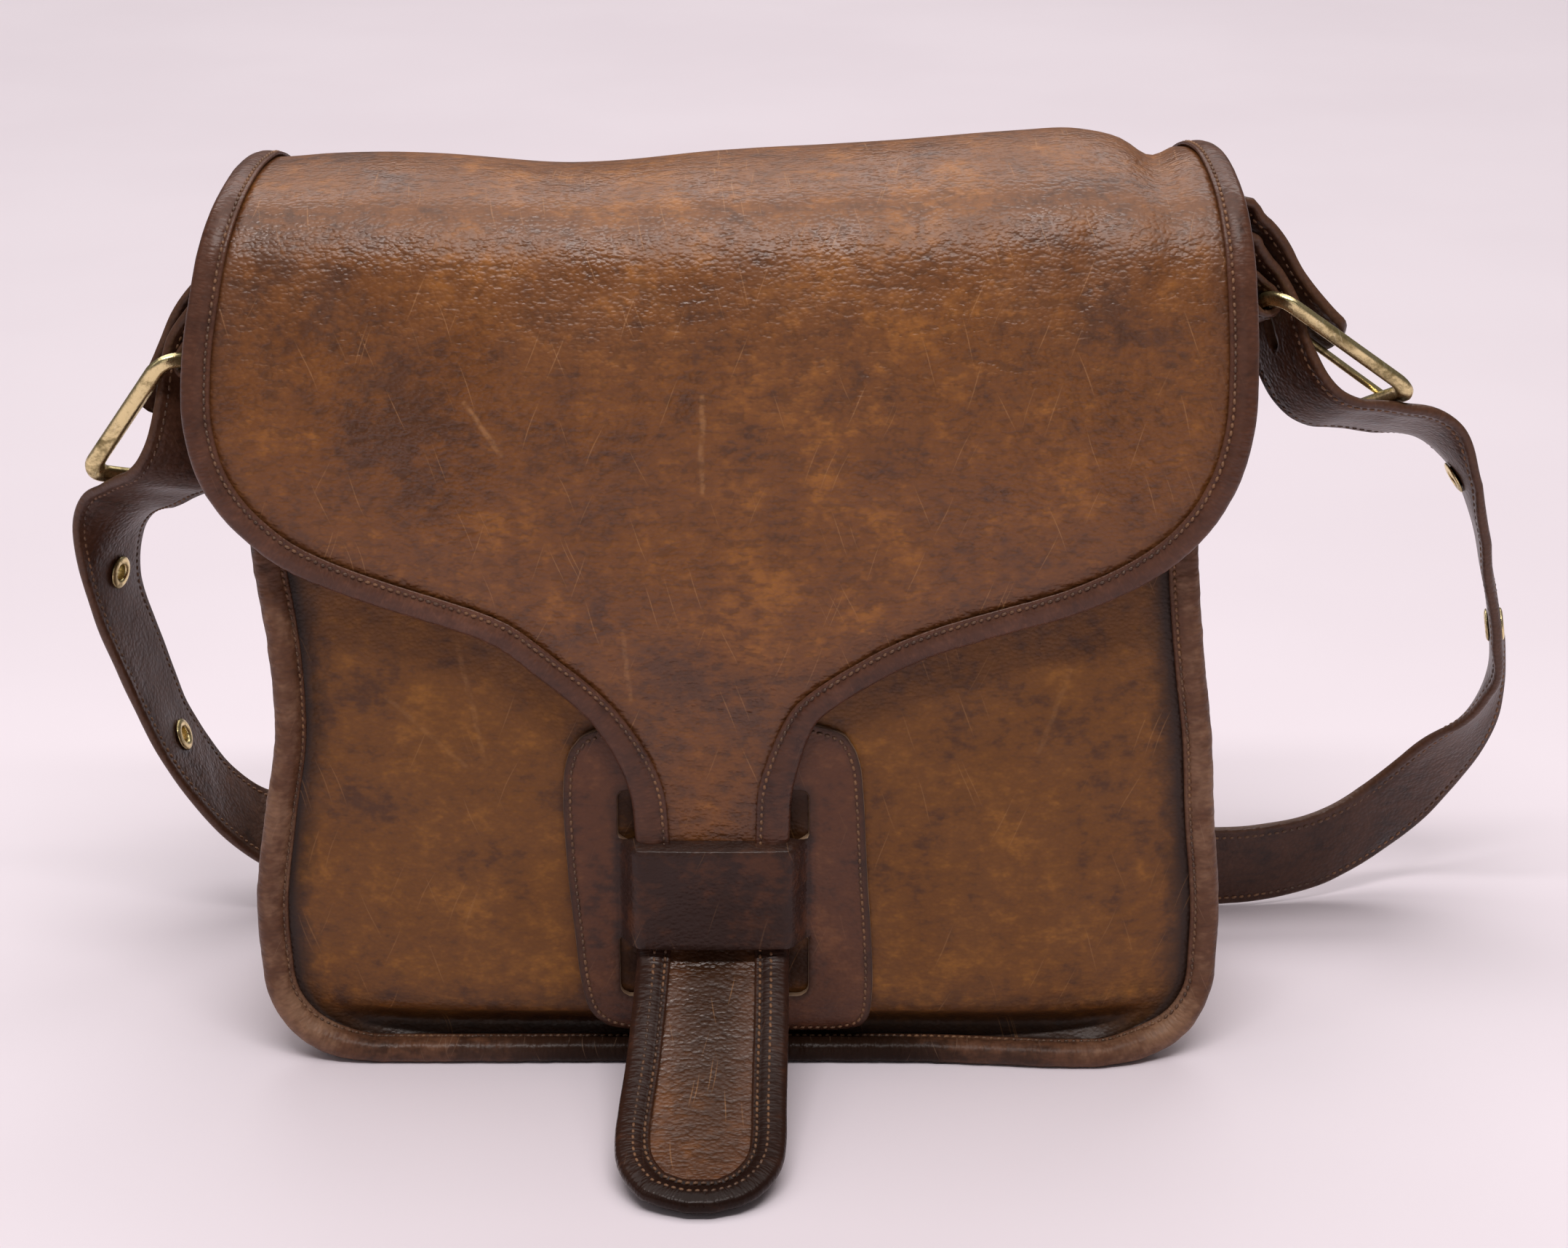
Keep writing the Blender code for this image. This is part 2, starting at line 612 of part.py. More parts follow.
def make_keeper_patch(material):
    """The patch lies on the belly; its bridge stands out over the tongue between two slots."""
    inner_columns = [SLOT_LEFT, SLOT_LEFT + BRIDGE_HALF_WAY, SLOT_LEFT + BRIDGE_SHOULDER]
    inner_columns += BRIDGE_COLUMNS
    inner_columns += [SLOT_RIGHT - BRIDGE_SHOULDER, SLOT_RIGHT - BRIDGE_HALF_WAY, SLOT_RIGHT]
    points = []
    for z, left, right in PATCH_OUTLINE:
        if left < -SLOT_LEFT + PATCH_RIM or right < SLOT_RIGHT + PATCH_RIM:
            x = np.linspace(-left, right, len(inner_columns) + 4)
        else:
            outer_left = [-left, (SLOT_LEFT - left) / 2]
            outer_right = [(SLOT_RIGHT + right) / 2, right]
            x = np.array(outer_left + inner_columns + outer_right)
        on_bridge = LOWER_SLOT[1] <= z <= UPPER_SLOT[0]
        rise = np.zeros(len(x))
        if on_bridge:
            from_left = smooth_step((x - SLOT_LEFT) / BRIDGE_SHOULDER)
            from_right = smooth_step((SLOT_RIGHT - x) / BRIDGE_SHOULDER)
            rise = BRIDGE_RISE * np.minimum(from_left, from_right)
        u = x / PATCH_HALF_BODY
        slope = (belly_y(u, x, z + 1) - belly_y(u, x, z - 1)) / 2
        lean = np.sqrt(1 + slope ** 2)
        stand = PANEL_LEATHER / 2 + PATCH_GAP + PATCH_LEATHER / 2
        y = belly_y(u, x, z) - stand / lean - rise
        points.append(np.column_stack([x, y, z + stand * slope / lean]))
    width = len(points[0])
    rows = len(PATCH_OUTLINE)
    levels = [row[0] for row in PATCH_OUTLINE]

    def keep(i, j):
        in_slot = levels[i] in (LOWER_SLOT[0], UPPER_SLOT[0])
        outside = j < 2 or j >= width - 3
        return outside or not in_slot

    faces = grid_faces(rows, width, keep)
    return add_leather("keeper_patch", np.vstack(points), faces, PATCH_LEATHER, material)


def buckle_frame(side):
    """Middle of a buckle and its directions: down the rails, along the bars, towards the bag."""
    _, middle, down, along = next(row for row in BUCKLES if row[0] == side)
    down = unit(down)
    along = np.array(along) - down * np.dot(down, along)
    along = unit(along)
    return np.array(middle), down, along, np.cross(down, along)


def at_buckle(side, places):
    middle, down, along, inward = buckle_frame(side)
    places = np.atleast_2d(np.asarray(places, float))
    return middle + places[:, :1] * down + places[:, 1:2] * along + places[:, 2:3] * inward


def make_buckle(side, material):
    """One closed rectangular frame of bevelled bar."""
    half_length = FRAME_LENGTH / 2
    half_width = FRAME_WIDTH / 2
    path = []
    for quarter, (sign_a, sign_b) in enumerate([(1, 1), (-1, 1), (-1, -1), (1, -1)]):
        for step in range(FRAME_CORNER_STEPS + 1):
            angle = math.pi / 2 * (quarter + step / FRAME_CORNER_STEPS)
            outward = (math.cos(angle), math.sin(angle))
            a = sign_a * (half_length - FRAME_CORNER) + FRAME_CORNER * outward[0]
            b = sign_b * (half_width - FRAME_CORNER) + FRAME_CORNER * outward[1]
            path.append((a, b, outward))
    points = []
    for a, b, outward in path:
        grown = 1 + RAIL_GROWTH * min(1.0, 1 + outward[0])
        places = []
        for r, n in FRAME_SECTION:
            reach = r * grown if r > 0 else r
            places.append((a + reach * outward[0], b + reach * outward[1], n))
        points.extend(at_buckle(side, places))
    faces = tube_faces(len(path), len(FRAME_SECTION), closed=True)
    return add_object(f"buckle_{side}", points, faces, material)


def make_prong(side, material):
    """Round wire: nearly a full turn round the heel bar, then straight out over the front bar."""
    heel = -FRAME_LENGTH / 2
    turn = [math.radians(angle) for angle in range(-360, -89, 30)]
    path = [(heel + PRONG_TURN * math.cos(t), PRONG_TURN * math.sin(t)) for t in turn]
    path += [(heel + 12.0, -3.75), (heel + 26.0, -3.5), (FRAME_LENGTH / 2, -3.3), (PRONG_TIP, -3.3)]
    path = np.array(path)
    along = unit(np.gradient(path, axis=0))
    sides = 6
    points = []
    for k, (a, n) in enumerate(path):
        radius = PRONG_RADIUS * (0.7 if k == len(path) - 1 else 1.0)
        normal = (-along[k][1], along[k][0])
        for j in range(sides):
            angle = 2 * math.pi * j / sides
            out = radius * math.cos(angle)
            places = (a + out * normal[0], radius * math.sin(angle), n + out * normal[1])
            points.append(at_buckle(side, places)[0])
    return add_object(f"prong_{side}", points, tube_faces(len(path), sides, closed=False), material)


def wall_x(side, z):
    """Middle of the gusset's side wall in X, half way between front and back."""
    rows = gusset_sheet()
    rows = rows[:BODY_ROWS] if side == "left" else rows[-BODY_ROWS:]
    middle = (rows[:, 3] + rows[:, 4]) / 2
    order = np.argsort(middle[:, 2])
    return float(np.interp(z, middle[order, 2], middle[order, 0]))


def make_tab(side, material):
    """Sewn flat to the side wall, out to the heel bar, round it and back a little way."""
    _, _, along, _ = buckle_frame(side)
    sign = -1 if side == "left" else 1
    across = np.array([0.0, -sign, 0.0])
    stand = GUSSET_LEATHER / 2 + TAB_WALL_GAP + TAB_LEATHER / 2
    wall = [(wall_x(side, z) + sign * stand, TAB_WALL_Y, z) for z in TAB_WALL_LEVELS]
    heel = -FRAME_LENGTH / 2
    wrap = []
    for step in range(TAB_TURN_STEPS + 1):
        angle = math.pi * (step / TAB_TURN_STEPS - 0.5)
        wrap.append((heel + TAB_TURN * math.cos(angle), 0.0, TAB_TURN * math.sin(angle)))
    local = at_buckle(side, TAB_OUT + wrap + TAB_BACK)
    bend = (np.array(wall[-1]) + local[0]) / 2 + np.array([sign * TAB_BEND, 0.0, 0.0])
    centres = np.vstack([wall, [bend], local])
    first_wrap = len(wall) + 1 + len(TAB_OUT)
    after_wrap = first_wrap + len(wrap)
    directions = [across] * len(wall) + [unit(across + along)] + [along] * len(local)
    edges = [-TAB_WIDTH / 2, -PRONG_SLOT / 2, PRONG_SLOT / 2, TAB_WIDTH / 2]
    points = [centre + direction * b for centre, direction in zip(centres, directions) for b in edges]

    def keep(i, j):
        return j != 1 or not first_wrap - 1 <= i <= after_wrap

    faces = grid_faces(len(centres), len(edges), keep)
    return add_leather(f"tab_{side}", np.array(points), faces, TAB_LEATHER, material)


def strap_line():
    """Centres and crosswise directions of the strap from its left end to its right end."""
    centres = []
    directions = []
    for side in ("left", "right"):
        _, _, along, _ = buckle_frame(side)
        local = at_buckle(side, STRAP_AT_BUCKLE)
        if side == "right":
            centres += [row[:3] for row in STRAP_ROUTE]
            directions += [row[3:] for row in STRAP_ROUTE]
            local = local[::-1]
        centres += local.tolist()
        directions += [along] * len(local)
    centres = np.array(centres)
    directions = unit(np.array([list(d) for d in directions]))
    run = np.concatenate([[0.0], np.cumsum(np.linalg.norm(np.diff(centres, axis=0), axis=1))])
    return run, centres, directions


def strap_at(distances):
    """Centre, direction along and direction across the strap at distances from its left end."""
    run, centres, directions = strap_line()
    distances = np.asarray(distances, float)
    places = smooth_curve(run, centres, distances)
    ahead = smooth_curve(run, centres, distances + 0.5) - smooth_curve(run, centres, distances - 0.5)
    along = unit(ahead)
    across = smooth_curve(run, directions, distances)
    across = unit(across - along * np.sum(across * along, axis=-1, keepdims=True))
    return places, along, across


def strap_stations():
    """Distances of the strap's sections: close together at the buckles, wider apart elsewhere."""
    run, _, _ = strap_line()
    buckle_end = run[len(STRAP_AT_BUCKLE)]
    near = np.arange(0.0, buckle_end, STRAP_STEP_AT_BUCKLE)
    far = run[-1] - near[::-1]
    between = np.linspace(buckle_end, run[-1] - buckle_end, round((run[-1] - 2 * buckle_end) / STRAP_STEP))
    return np.concatenate([near, between, far])


def slot_spans():
    """Where the prong passes through the strap, as distances from the strap's left end."""
    run, _, _ = strap_line()
    start = run[SLOT_FROM]
    end = run[SLOT_TO]
    return (start, end), (run[-1] - end, run[-1] - start)


def make_strap(material):
    distances = strap_stations()
    places, _, across = strap_at(distances)
    half = STRAP_WIDTH / 2
    edges = [-half, -PRONG_SLOT / 2, PRONG_SLOT / 2, half]
    points = [place + side * b for place, side in zip(places, across) for b in edges]
    spans = slot_spans()

    def keep(i, j):
        middle = (distances[i] + distances[i + 1]) / 2
        return j != 1 or not any(start < middle < end for start, end in spans)

    faces = grid_faces(len(distances), 4, keep)
    strap = add_leather("shoulder_strap", np.array(points), faces, STRAP_LEATHER, material)
    for side, number, distance in EYELETS:
        cutter = make_cutter(side, number, distance)
        hole = strap.modifiers.new(cutter.name, "BOOLEAN")
        hole.operation = "DIFFERENCE"
        hole.solver = "EXACT"
        hole.object = cutter
    return strap


def eyelet_frame(side, distance):
    """Middle and directions of an eyelet, half way between the two sections that it lies nearest."""
    run, _, _ = strap_line()
    at = distance if side == "left" else run[-1] - distance
    stations = strap_stations()
    middles = (stations[:-1] + stations[1:]) / 2
    nearest = int(np.argmin(np.abs(middles - at)))
    places, _, across = strap_at(stations[nearest:nearest + 2])
    along = unit(places[1] - places[0])
    side_on = unit(across[0] + across[1])
    side_on = unit(side_on - along * np.dot(side_on, along))
    return (places[0] + places[1]) / 2, along, side_on, np.cross(along, side_on)


def turned(side, distance, profile):
    """Points of a ring-shaped profile of (radius, height) turned about an eyelet's axis."""
    place, along, across, axis = eyelet_frame(side, distance)
    points = []
    for k in range(EYELET_SIDES):
        angle = 2 * math.pi * k / EYELET_SIDES
        out = along * math.cos(angle) + across * math.sin(angle)
        points.extend(place + out * radius + axis * height for radius, height in profile)
    return points


def make_cutter(side, number, distance):
    """A round cutter for one eyelet's hole, twice as long as the strap is thick."""
    rings = turned(side, distance, [(EYELET_HOLE, -STRAP_LEATHER), (EYELET_HOLE, STRAP_LEATHER)])
    place, _, _, axis = eyelet_frame(side, distance)
    points = rings + [place - axis * STRAP_LEATHER, place + axis * STRAP_LEATHER]
    low, high = len(rings), len(rings) + 1
    faces = []
    for k in range(EYELET_SIDES):
        after = (k + 1) % EYELET_SIDES
        faces.append((2 * k, 2 * after, 2 * after + 1, 2 * k + 1))
        faces.append((low, 2 * after, 2 * k))
        faces.append((high, 2 * k + 1, 2 * after + 1))
    cutter = add_object(f"cutter_{side}_{number}", points, faces, None)
    cutter.hide_render = True
    cutter.display_type = "WIRE"
    return cutter


def make_eyelet(side, number, distance, material):
    """A brass tube through the strap with a flange on each face."""
    face = STRAP_LEATHER / 2 + EYELET_GAP
    rim = face + EYELET_RIM
    wall = EYELET_HOLE - GAP
    profile = [
        (EYELET_BORE, -rim), (EYELET_BORE, rim), (EYELET_OUTER, face), (wall, face), (wall, -face),
        (EYELET_OUTER, -face),
    ]
    points = turned(side, distance, profile)
    faces = tube_faces(EYELET_SIDES, len(profile), closed=True)
    return add_object(f"eyelet_{side}_{number}", points, faces, material)


def clear_scene():
    for thing in list(bpy.data.objects):
        bpy.data.objects.remove(thing, do_unlink=True)


def main():
    clear_scene()
    leather = finish("brown_leather", (0.17, 0.075, 0.035), 0.5)
    binding = finish("binding_leather", (0.06, 0.03, 0.025), 0.4)
    patch = finish("patch_leather", (0.11, 0.04, 0.025), 0.45)
    strap = finish("strap_leather", (0.08, 0.04, 0.028), 0.5)
    brass = finish("brass", (0.72, 0.55, 0.28), 0.3, metallic=1.0)
    make_front_panel(leather)
    make_gusset(leather)
    make_front_binding(binding)
    make_back_flap(leather)
    make_back_flap_binding(binding)
    make_keeper_patch(patch)
    for side in ("left", "right"):
        make_tab(side, strap)
        make_buckle(side, brass)
        make_prong(side, brass)
    make_strap(strap)
    for side, number, distance in EYELETS:
        make_eyelet(side, number, distance, brass)


main()
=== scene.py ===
"""Looks of the leather messenger bag: its hides, bindings, stitches, brass and studio.

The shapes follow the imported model, in the same frame: X to the picture's right, Y to the back, Z up.
Sizes below are in millimetres, as on the maker's bench; meshes are made in metres.
"""

import math

import bmesh
import bpy
import numpy as np
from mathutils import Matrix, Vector, geometry, noise


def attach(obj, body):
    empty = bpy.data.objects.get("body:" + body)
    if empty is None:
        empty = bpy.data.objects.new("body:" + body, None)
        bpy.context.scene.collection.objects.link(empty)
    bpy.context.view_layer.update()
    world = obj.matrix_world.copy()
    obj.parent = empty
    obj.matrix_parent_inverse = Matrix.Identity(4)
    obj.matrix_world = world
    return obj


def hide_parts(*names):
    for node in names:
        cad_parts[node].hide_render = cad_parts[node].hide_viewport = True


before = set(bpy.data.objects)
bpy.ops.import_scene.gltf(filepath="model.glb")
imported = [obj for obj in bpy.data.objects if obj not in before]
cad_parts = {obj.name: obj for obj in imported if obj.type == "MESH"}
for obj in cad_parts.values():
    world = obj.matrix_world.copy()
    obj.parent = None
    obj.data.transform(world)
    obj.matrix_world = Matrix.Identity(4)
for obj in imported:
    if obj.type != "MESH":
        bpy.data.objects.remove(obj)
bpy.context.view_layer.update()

MM = 0.001

# Thickness of each leather, and the clearance between two layers
FLAP_LEATHER = 2.0
PANEL_LEATHER = 1.6
GUSSET_LEATHER = 1.6
BINDING_LEATHER = 1.0
PATCH_LEATHER = 2.0
TAB_LEATHER = 2.0
STRAP_LEATHER = 3.0
GAP = 0.3
SEAM_GAP = 0.45

# Seam allowance: how far the leather and its binding stand out past the seam
FLANGE = 7.8
BINDING_REACH = 9.6
BINDING_START = 2.1
BINDING_START_AT_FOOT = 2.8
TWIST_ROOM = 0.5

# Body
SEAM_Z = 4.25
BACK_SEAM_Z = 4.45
CORNER_RADIUS = 23.0
CORNER_STEPS = 7
BODY_TOP = 230.0

# Half widths of the body at the seam, and the angle by which the front flange is folded forward
# (z, left, right, left_turn, right_turn)
BODY_OUTLINE = [
    (27, 127.0, 126.6, 30, 5),
    (45, 127.8, 126.8, 32, 5),
    (75, 124.6, 124.1, 45, 8),
    (100, 120.9, 122.3, 52, 8),
    (115, 120.8, 120.3, 52, 10),
    (130, 121.4, 118.5, 46, 10),
    (155, 123.8, 116.4, 30, 10),
    (190, 124.4, 116.4, 18, 10),
    (230, 122.6, 117.0, 10, 10),
]

# Depth of the body: where the front and back seams lie, and how far the side walls stand out
# (z, front, back, wall)
BODY_DEPTH = [
    (4, -40.0, 32.0, 1.2),
    (30, -40.0, 32.0, 2.5),
    (90, -40.0, 32.0, 3.0),
    (130, -39.5, 31.5, 0.0),
    (170, -38.0, 30.5, -5.0),
    (205, -36.0, 29.0, -7.0),
    (230, -32.5, 27.2, -5.0),
]

# The foot of the front seam wanders forward between the corners
# (x, forward)
FOOT_SWAY = [(-118, 0.0), (-80, 1.0), (-49, 3.0), (0, 4.5), (48, 6.0), (79, 7.5), (98, 4.5), (118, 0.0)]
SWAY_FADE = 20.0

# Bulge of the front panel past its seam along the middle of the bag
# (z, bulge)
BELLY = [
    (4, 0.0), (6.5, 0.0), (9, 1.2), (13, 4.4), (20, 7.2), (32, 8.0),
    (60, 7.8), (100, 6.6), (150, 4.0), (200, 2.5), (230, 0.5),
]
BACK_BULGE = 2.5

# Sections of the flap from the top of the back to the tip of the tongue. The half widths are
# those of the seam line just inside the binding, measured from x = 0; right is negative where
# the tongue's edge lies left of the middle.
# (y, z, left, right, lift): lift is the share of CROWN_LIFT that the section takes
FLAP_SECTIONS = [
    (27.2, 230.0, 122.6, 117.0, 0.1),
    (26.8, 238.0, 122.9, 117.2, 0.5),
    (23.5, 245.5, 123.6, 117.8, 0.9),
    (15.0, 250.0, 125.0, 120.0, 1.0),
    (1.0, 251.5, 127.2, 123.2, 0.9),
    (-15.0, 250.0, 129.4, 125.6, 0.6),
    (-29.0, 245.5, 131.4, 127.0, 0.4),
    (-37.0, 237.5, 133.8, 128.2, 0.25),
    (-42.5, 225.0, 136.2, 129.2, 0.1),
    (-47.0, 208.0, 138.6, 129.8, 0.0),
    (-50.5, 190.0, 138.3, 128.8, 0.0),
    (-51.8, 178.0, 134.4, 125.2, 0.0),
    (-52.3, 168.5, 127.2, 119.6, 0.0),
    (-52.7, 160.0, 116.3, 110.8, 0.0),
    (-52.9, 152.8, 99.9, 98.6, 0.0),
    (-53.0, 147.2, 83.5, 84.8, 0.0),
    (-53.0, 143.3, 71.6, 71.0, 0.0),
    (-53.0, 139.4, 62.2, 57.4, 0.0),
    (-53.1, 134.0, 54.4, 43.0, 0.0),
    (-53.1, 128.0, 47.2, 32.0, 0.0),
    (-53.1, 122.0, 40.0, 22.6, 0.0),
    (-53.1, 115.5, 33.6, 14.8, 0.0),
    (-53.1, 108.0, 28.4, 10.6, 0.0),
    (-53.1, 99.0, 23.8, 7.6, 0.0),
    (-53.1, 89.0, 20.4, 5.2, 0.0),
    (-53.1, 75.0, 18.9, 4.3, 0.0),
    (-53.1, 56.0, 18.5, 4.0, 0.0),
    (-53.1, 47.5, 18.5, 4.0, 0.0),
    (-53.4, 41.5, 18.6, 4.0, 0.0),
    (-56.8, 36.6, 18.8, 4.0, 0.0),
    (-64.5, 32.2, 19.2, 4.0, 0.0),
    (-76.0, 26.0, 20.0, 3.9, 0.0),
    (-89.0, 19.2, 21.0, 3.6, 0.0),
    (-102.0, 13.5, 22.4, 3.4, 0.0),
    (-112.0, 9.8, 23.0, 3.3, 0.0),
    (-118.0, 8.0, 22.4, 2.6, 0.0),
    (-122.5, 6.8, 20.4, 0.4, 0.0),
    (-125.6, 6.0, 17.6, -2.6, 0.0),
    (-127.2, 5.6, 13.6, -5.4, 0.0),
]

# Height of the crown above its section, from the left end to the hollow and hump at the right
# (x, lift)
CROWN_LIFT = [
    (-134, 2.0), (-85, 1.0), (-44, -2.0), (-3, 1.0), (38, 4.4), (79, 7.4),
    (95, 8.0), (106, 6.0), (114, 1.8), (124, 6.0), (134, 6.0),
]
# The flap's sides curl back by this much at its edges
FLAP_CURL = 2.0

# Keeper patch (z, left, right), left and right as distances from x = 0
PATCH_OUTLINE = [
    (10.5, 29.0, 28.0), (11.8, 35.0, 33.0), (14.6, 40.0, 36.2), (18.6, 43.0, 37.4),
    (23.0, 44.2, 37.8), (41.5, 46.4, 37.4), (48.0, 47.0, 37.0), (57.0, 47.8, 36.4),
    (66.0, 48.4, 35.9), (72.0, 48.7, 35.6), (86.0, 48.9, 34.8), (94.0, 48.0, 33.8),
    (99.5, 45.6, 31.6), (103.5, 40.5, 27.6), (105.5, 33.0, 21.5),
]
SLOT_LEFT = -33.8
SLOT_RIGHT = 19.6
LOWER_SLOT = (23.0, 41.5)
UPPER_SLOT = (72.0, 86.0)
BRIDGE_RISE = 7.9
PATCH_GAP = 0.5
PATCH_HALF_BODY = 125.0

# Buckles: a rectangular frame whose heel bar is held by the tab and whose front bar holds the strap
# (side, middle of the frame, direction down its rails, direction along its bars)
BUCKLES = [
    ("left", (-159.1, 8.8, 174.9), (-0.55, 0.275, -0.79), (0.76, 0.58, -0.28)),
    ("right", (161.5, 5.7, 195.7), (0.81, 0.044, -0.585), (0.385, -0.812, 0.438)),
]
FRAME_LENGTH = 47.0
FRAME_WIDTH = 36.0
FRAME_CORNER = 5.0
# The rails and the front bar are wider on their outer side than the heel bar
RAIL_GROWTH = 0.3
PRONG_RADIUS = 1.1
PRONG_TURN = 3.8
# The prong past its turn (down the rails from the middle, towards the bag), and its rounded point
PRONG_OUT = [(-11.5, -3.75), (2.5, -3.5), (23.5, -3.3), (27.0, -3.3)]
PRONG_POINT = 1.2

# Tabs: the wrap round the heel bar as (down the rails, along the bars, towards the bag)
TAB_WIDTH = 26.0
TAB_WALL_Y = -3.0
TAB_WALL_GAP = 0.6
TAB_TURN = 3.75
TAB_TURN_STEPS = 6
TAB_BEND = 1.5
TAB_WALL_LEVELS = [226.0, 219.0, 212.0]
TAB_OUT = [(-40.5, 3.4, -2.6), (-34.0, 2.2, -3.6), (-28.0, 0.8, -3.75)]
TAB_BACK = [(-28.0, 0.8, 2.9), (-31.5, 1.6, 0.6), (-35.0, 2.4, -1.0), (-40.0, 3.3, -0.3)]
PRONG_SLOT = 5.0

# Strap
STRAP_WIDTH = 30.0
STRAP_STEP = 15.0
STRAP_STEP_AT_BUCKLE = 4.5
# Its route past each buckle as (down the rails, along the bars, towards the bag)
STRAP_AT_BUCKLE = [
    (4.0, 0.5, -6.6), (-3.0, 0.5, -6.9), (-11.0, 0.8, -8.6), (-19.0, 1.2, -11.2), (-27.0, 2.0, -14.6),
    (-34.0, 3.6, -16.2), (-40.0, 5.0, -16.6), (-45.2, 6.2, -16.6), (-47.7, 6.6, -13.8), (-45.2, 6.0, -11.0),
    (-39.0, 3.6, -10.4), (-32.0, 1.2, -9.4), (-24.0, 0.0, -7.9), (-16.8, 0.0, -3.9), (-10.6, 0.0, 2.0),
    (-4.6, 0.0, 6.6), (1.5, 0.0, 9.9), (8.0, 0.0, 11.2), (14.0, 0.0, 9.9), (19.0, 0.0, 7.1),
    (23.5, 0.0, 4.7), (28.0, 0.0, 2.6), (33.0, 0.0, 0.0),
]
# The rows between which the prong passes through the strap
SLOT_FROM = 12
SLOT_TO = 14
# Its route from the left buckle, round behind the bag, to the right one
# (x, y, z, direction across the strap x, y, z)
STRAP_ROUTE = [
    (-186.0, 28.6, 129.5, 0.45, 0.88, 0.12), (-186.0, 32.0, 113.4, 0.25, 0.95, 0.18),
    (-182.4, 35.2, 97.1, 0.18, 0.96, 0.2), (-178.3, 38.6, 81.1, 0.14, 0.97, 0.2),
    (-174.0, 42.0, 65.9, 0.08, 0.97, 0.22), (-167.5, 46.2, 50.9, 0.02, 0.97, 0.26),
    (-159.9, 51.0, 37.6, -0.03, 0.95, 0.32), (-150.5, 57.0, 26.6, -0.05, 0.9, 0.42),
    (-133.0, 65.0, 18.4, -0.04, 0.72, 0.69), (-110.0, 70.5, 15.9, 0.0, 0.42, 0.91),
    (-80.0, 73.0, 15.4, 0.0, 0.2, 0.98), (-45.0, 73.0, 15.3, 0.0, 0.1, 1.0),
    (-5.0, 71.0, 15.2, 0.0, 0.05, 1.0), (35.0, 67.0, 15.2, 0.0, 0.0, 1.0),
    (75.0, 61.0, 15.2, 0.0, -0.05, 1.0), (110.0, 55.0, 15.3, 0.0, -0.12, 0.99),
    (137.0, 52.0, 15.3, -0.02, -0.2, 0.98),
    (160.0, 53.0, 15.8, -0.06, -0.24, 0.97), (181.0, 57.5, 19.0, -0.1, -0.28, 0.95),
    (200.0, 61.5, 29.0, -0.14, -0.36, 0.92), (216.0, 59.5, 47.0, -0.15, -0.5, 0.85),
    (226.6, 53.5, 67.0, -0.12, -0.68, 0.72), (229.2, 46.0, 86.0, -0.16, -0.82, 0.57),
    (226.2, 37.5, 104.5, -0.2, -0.9, 0.4), (221.0, 30.0, 123.7, -0.2, -0.91, 0.35),
    (215.5, 23.0, 142.0, -0.18, -0.91, 0.36), (207.5, 17.0, 159.5, -0.08, -0.92, 0.37),
    (198.6, 12.3, 170.8, 0.14, -0.89, 0.41),
]
EYELET_HOLE = 3.5
EYELET_GAP = 0.5
# How far the cutters reach, and the half sizes of the prong's slots in the strap and in the tab
EYELET_CUT_DEPTH = 4.0
STRAP_CUT_DEPTH = 6.0
TAB_CUT_DEPTH = 8.0
STRAP_SLOT_HALF = 2.2
STRAP_SLOT_ROOM = 2.0
TAB_SLOT_HALF = 9.5
TAB_SLOT_SHIFT = 2.0
# Half of an eyelet's rolled wall (radius, height above the strap's face)
EYELET_WALL = [
    (3.2, -0.25), (4.85, -0.1), (5.0, 0.15), (4.65, 0.5), (3.8, 0.78), (3.1, 0.74), (2.55, 0.45),
    (2.4, 0.0),
]
# Distance of each eyelet from the strap's ends
EYELETS = [("left", 1, 181.0), ("left", 2, 232.0), ("right", 1, 181.0), ("right", 2, 232.0)]

# How finely the pieces are drawn
CORNER_FINE = 16
BODY_FINE = 84
ACROSS_FINE = 96
FLAP_STEP = 2.3
GUSSET_ACROSS = 31
EDGE_SMOOTHING = 2
BINDING_STEP = 1.1
PATCH_FINE = 1.3
PATCH_LEVELS = 120
STRAP_FINE = 1.6
STRAP_ACROSS = 27
TAB_FINE = 1.2
TAB_ACROSS = 21
RAIL_STEPS = 8
PRONG_FINE = 0.7
PRONG_SIDES = 16
EYELET_FINE = 28
CUTTER_SIDES = 24
# A piece without a worn edge counts as this far from one
FAR_FROM_EDGE = 30.0
# Each further seed reads the noise this far away
SEED_SHIFT = 7.31

# Binding: its round nose, the length over which a twist of the seam is given room, and how much further
# in it starts on the tongue
BINDING_NOSE = 1.9
TWIST_SPAN = 5.2
TONGUE_BINDING = 1.5
# Up to this share of its way the binding is held flat by its stitches and crinkles only a little
BINDING_HELD = 0.25
HELD_CRINKLE = 0.2
FRONT_BINDING_CRINKLE = 0.55
# From this many rows above the body's top the flap's binding leaves the gusset, over so many rows
BINDING_FREE_FROM = 4.0
BINDING_FREE_OVER = 14.0
# Its profile from the stitched edge to the nose (share of the way to the nose, height above the flat)
BINDING_PROFILE = [
    (0.0, -0.05), (0.08, 0.12), (0.16, 0.06), (0.23, -0.22), (0.30, -0.22), (0.38, 0.05), (0.48, 0.26),
    (0.60, 0.38), (0.72, 0.40), (0.84, 0.34), (0.94, 0.16),
]

# Stitches
STITCH_IN = 1.35
STITCH_HEIGHT = 0.05
STITCH_RADIUS = 0.42
STITCH_SHARE = 0.70
STITCH_PITCH = 2.15
STRAP_STITCH_PITCH = 2.4
STITCH_SIDES = 6
# Hand sewing: spread of the stitches' lengths, and their slant with its own spread in degrees
STITCH_SPREAD = 0.12
STITCH_SLANT = (7.0, 5.0)
# Rings of one stitch as (share of its length, share of its radius, depth sunk into the leather)
STITCH_RINGS = [
    (-0.5, 0.45, 0.34), (-0.36, 0.95, 0.1), (0.0, 1.1, 0.0), (0.36, 0.95, 0.1), (0.5, 0.45, 0.34),
]
PATCH_STITCH_IN = 2.0
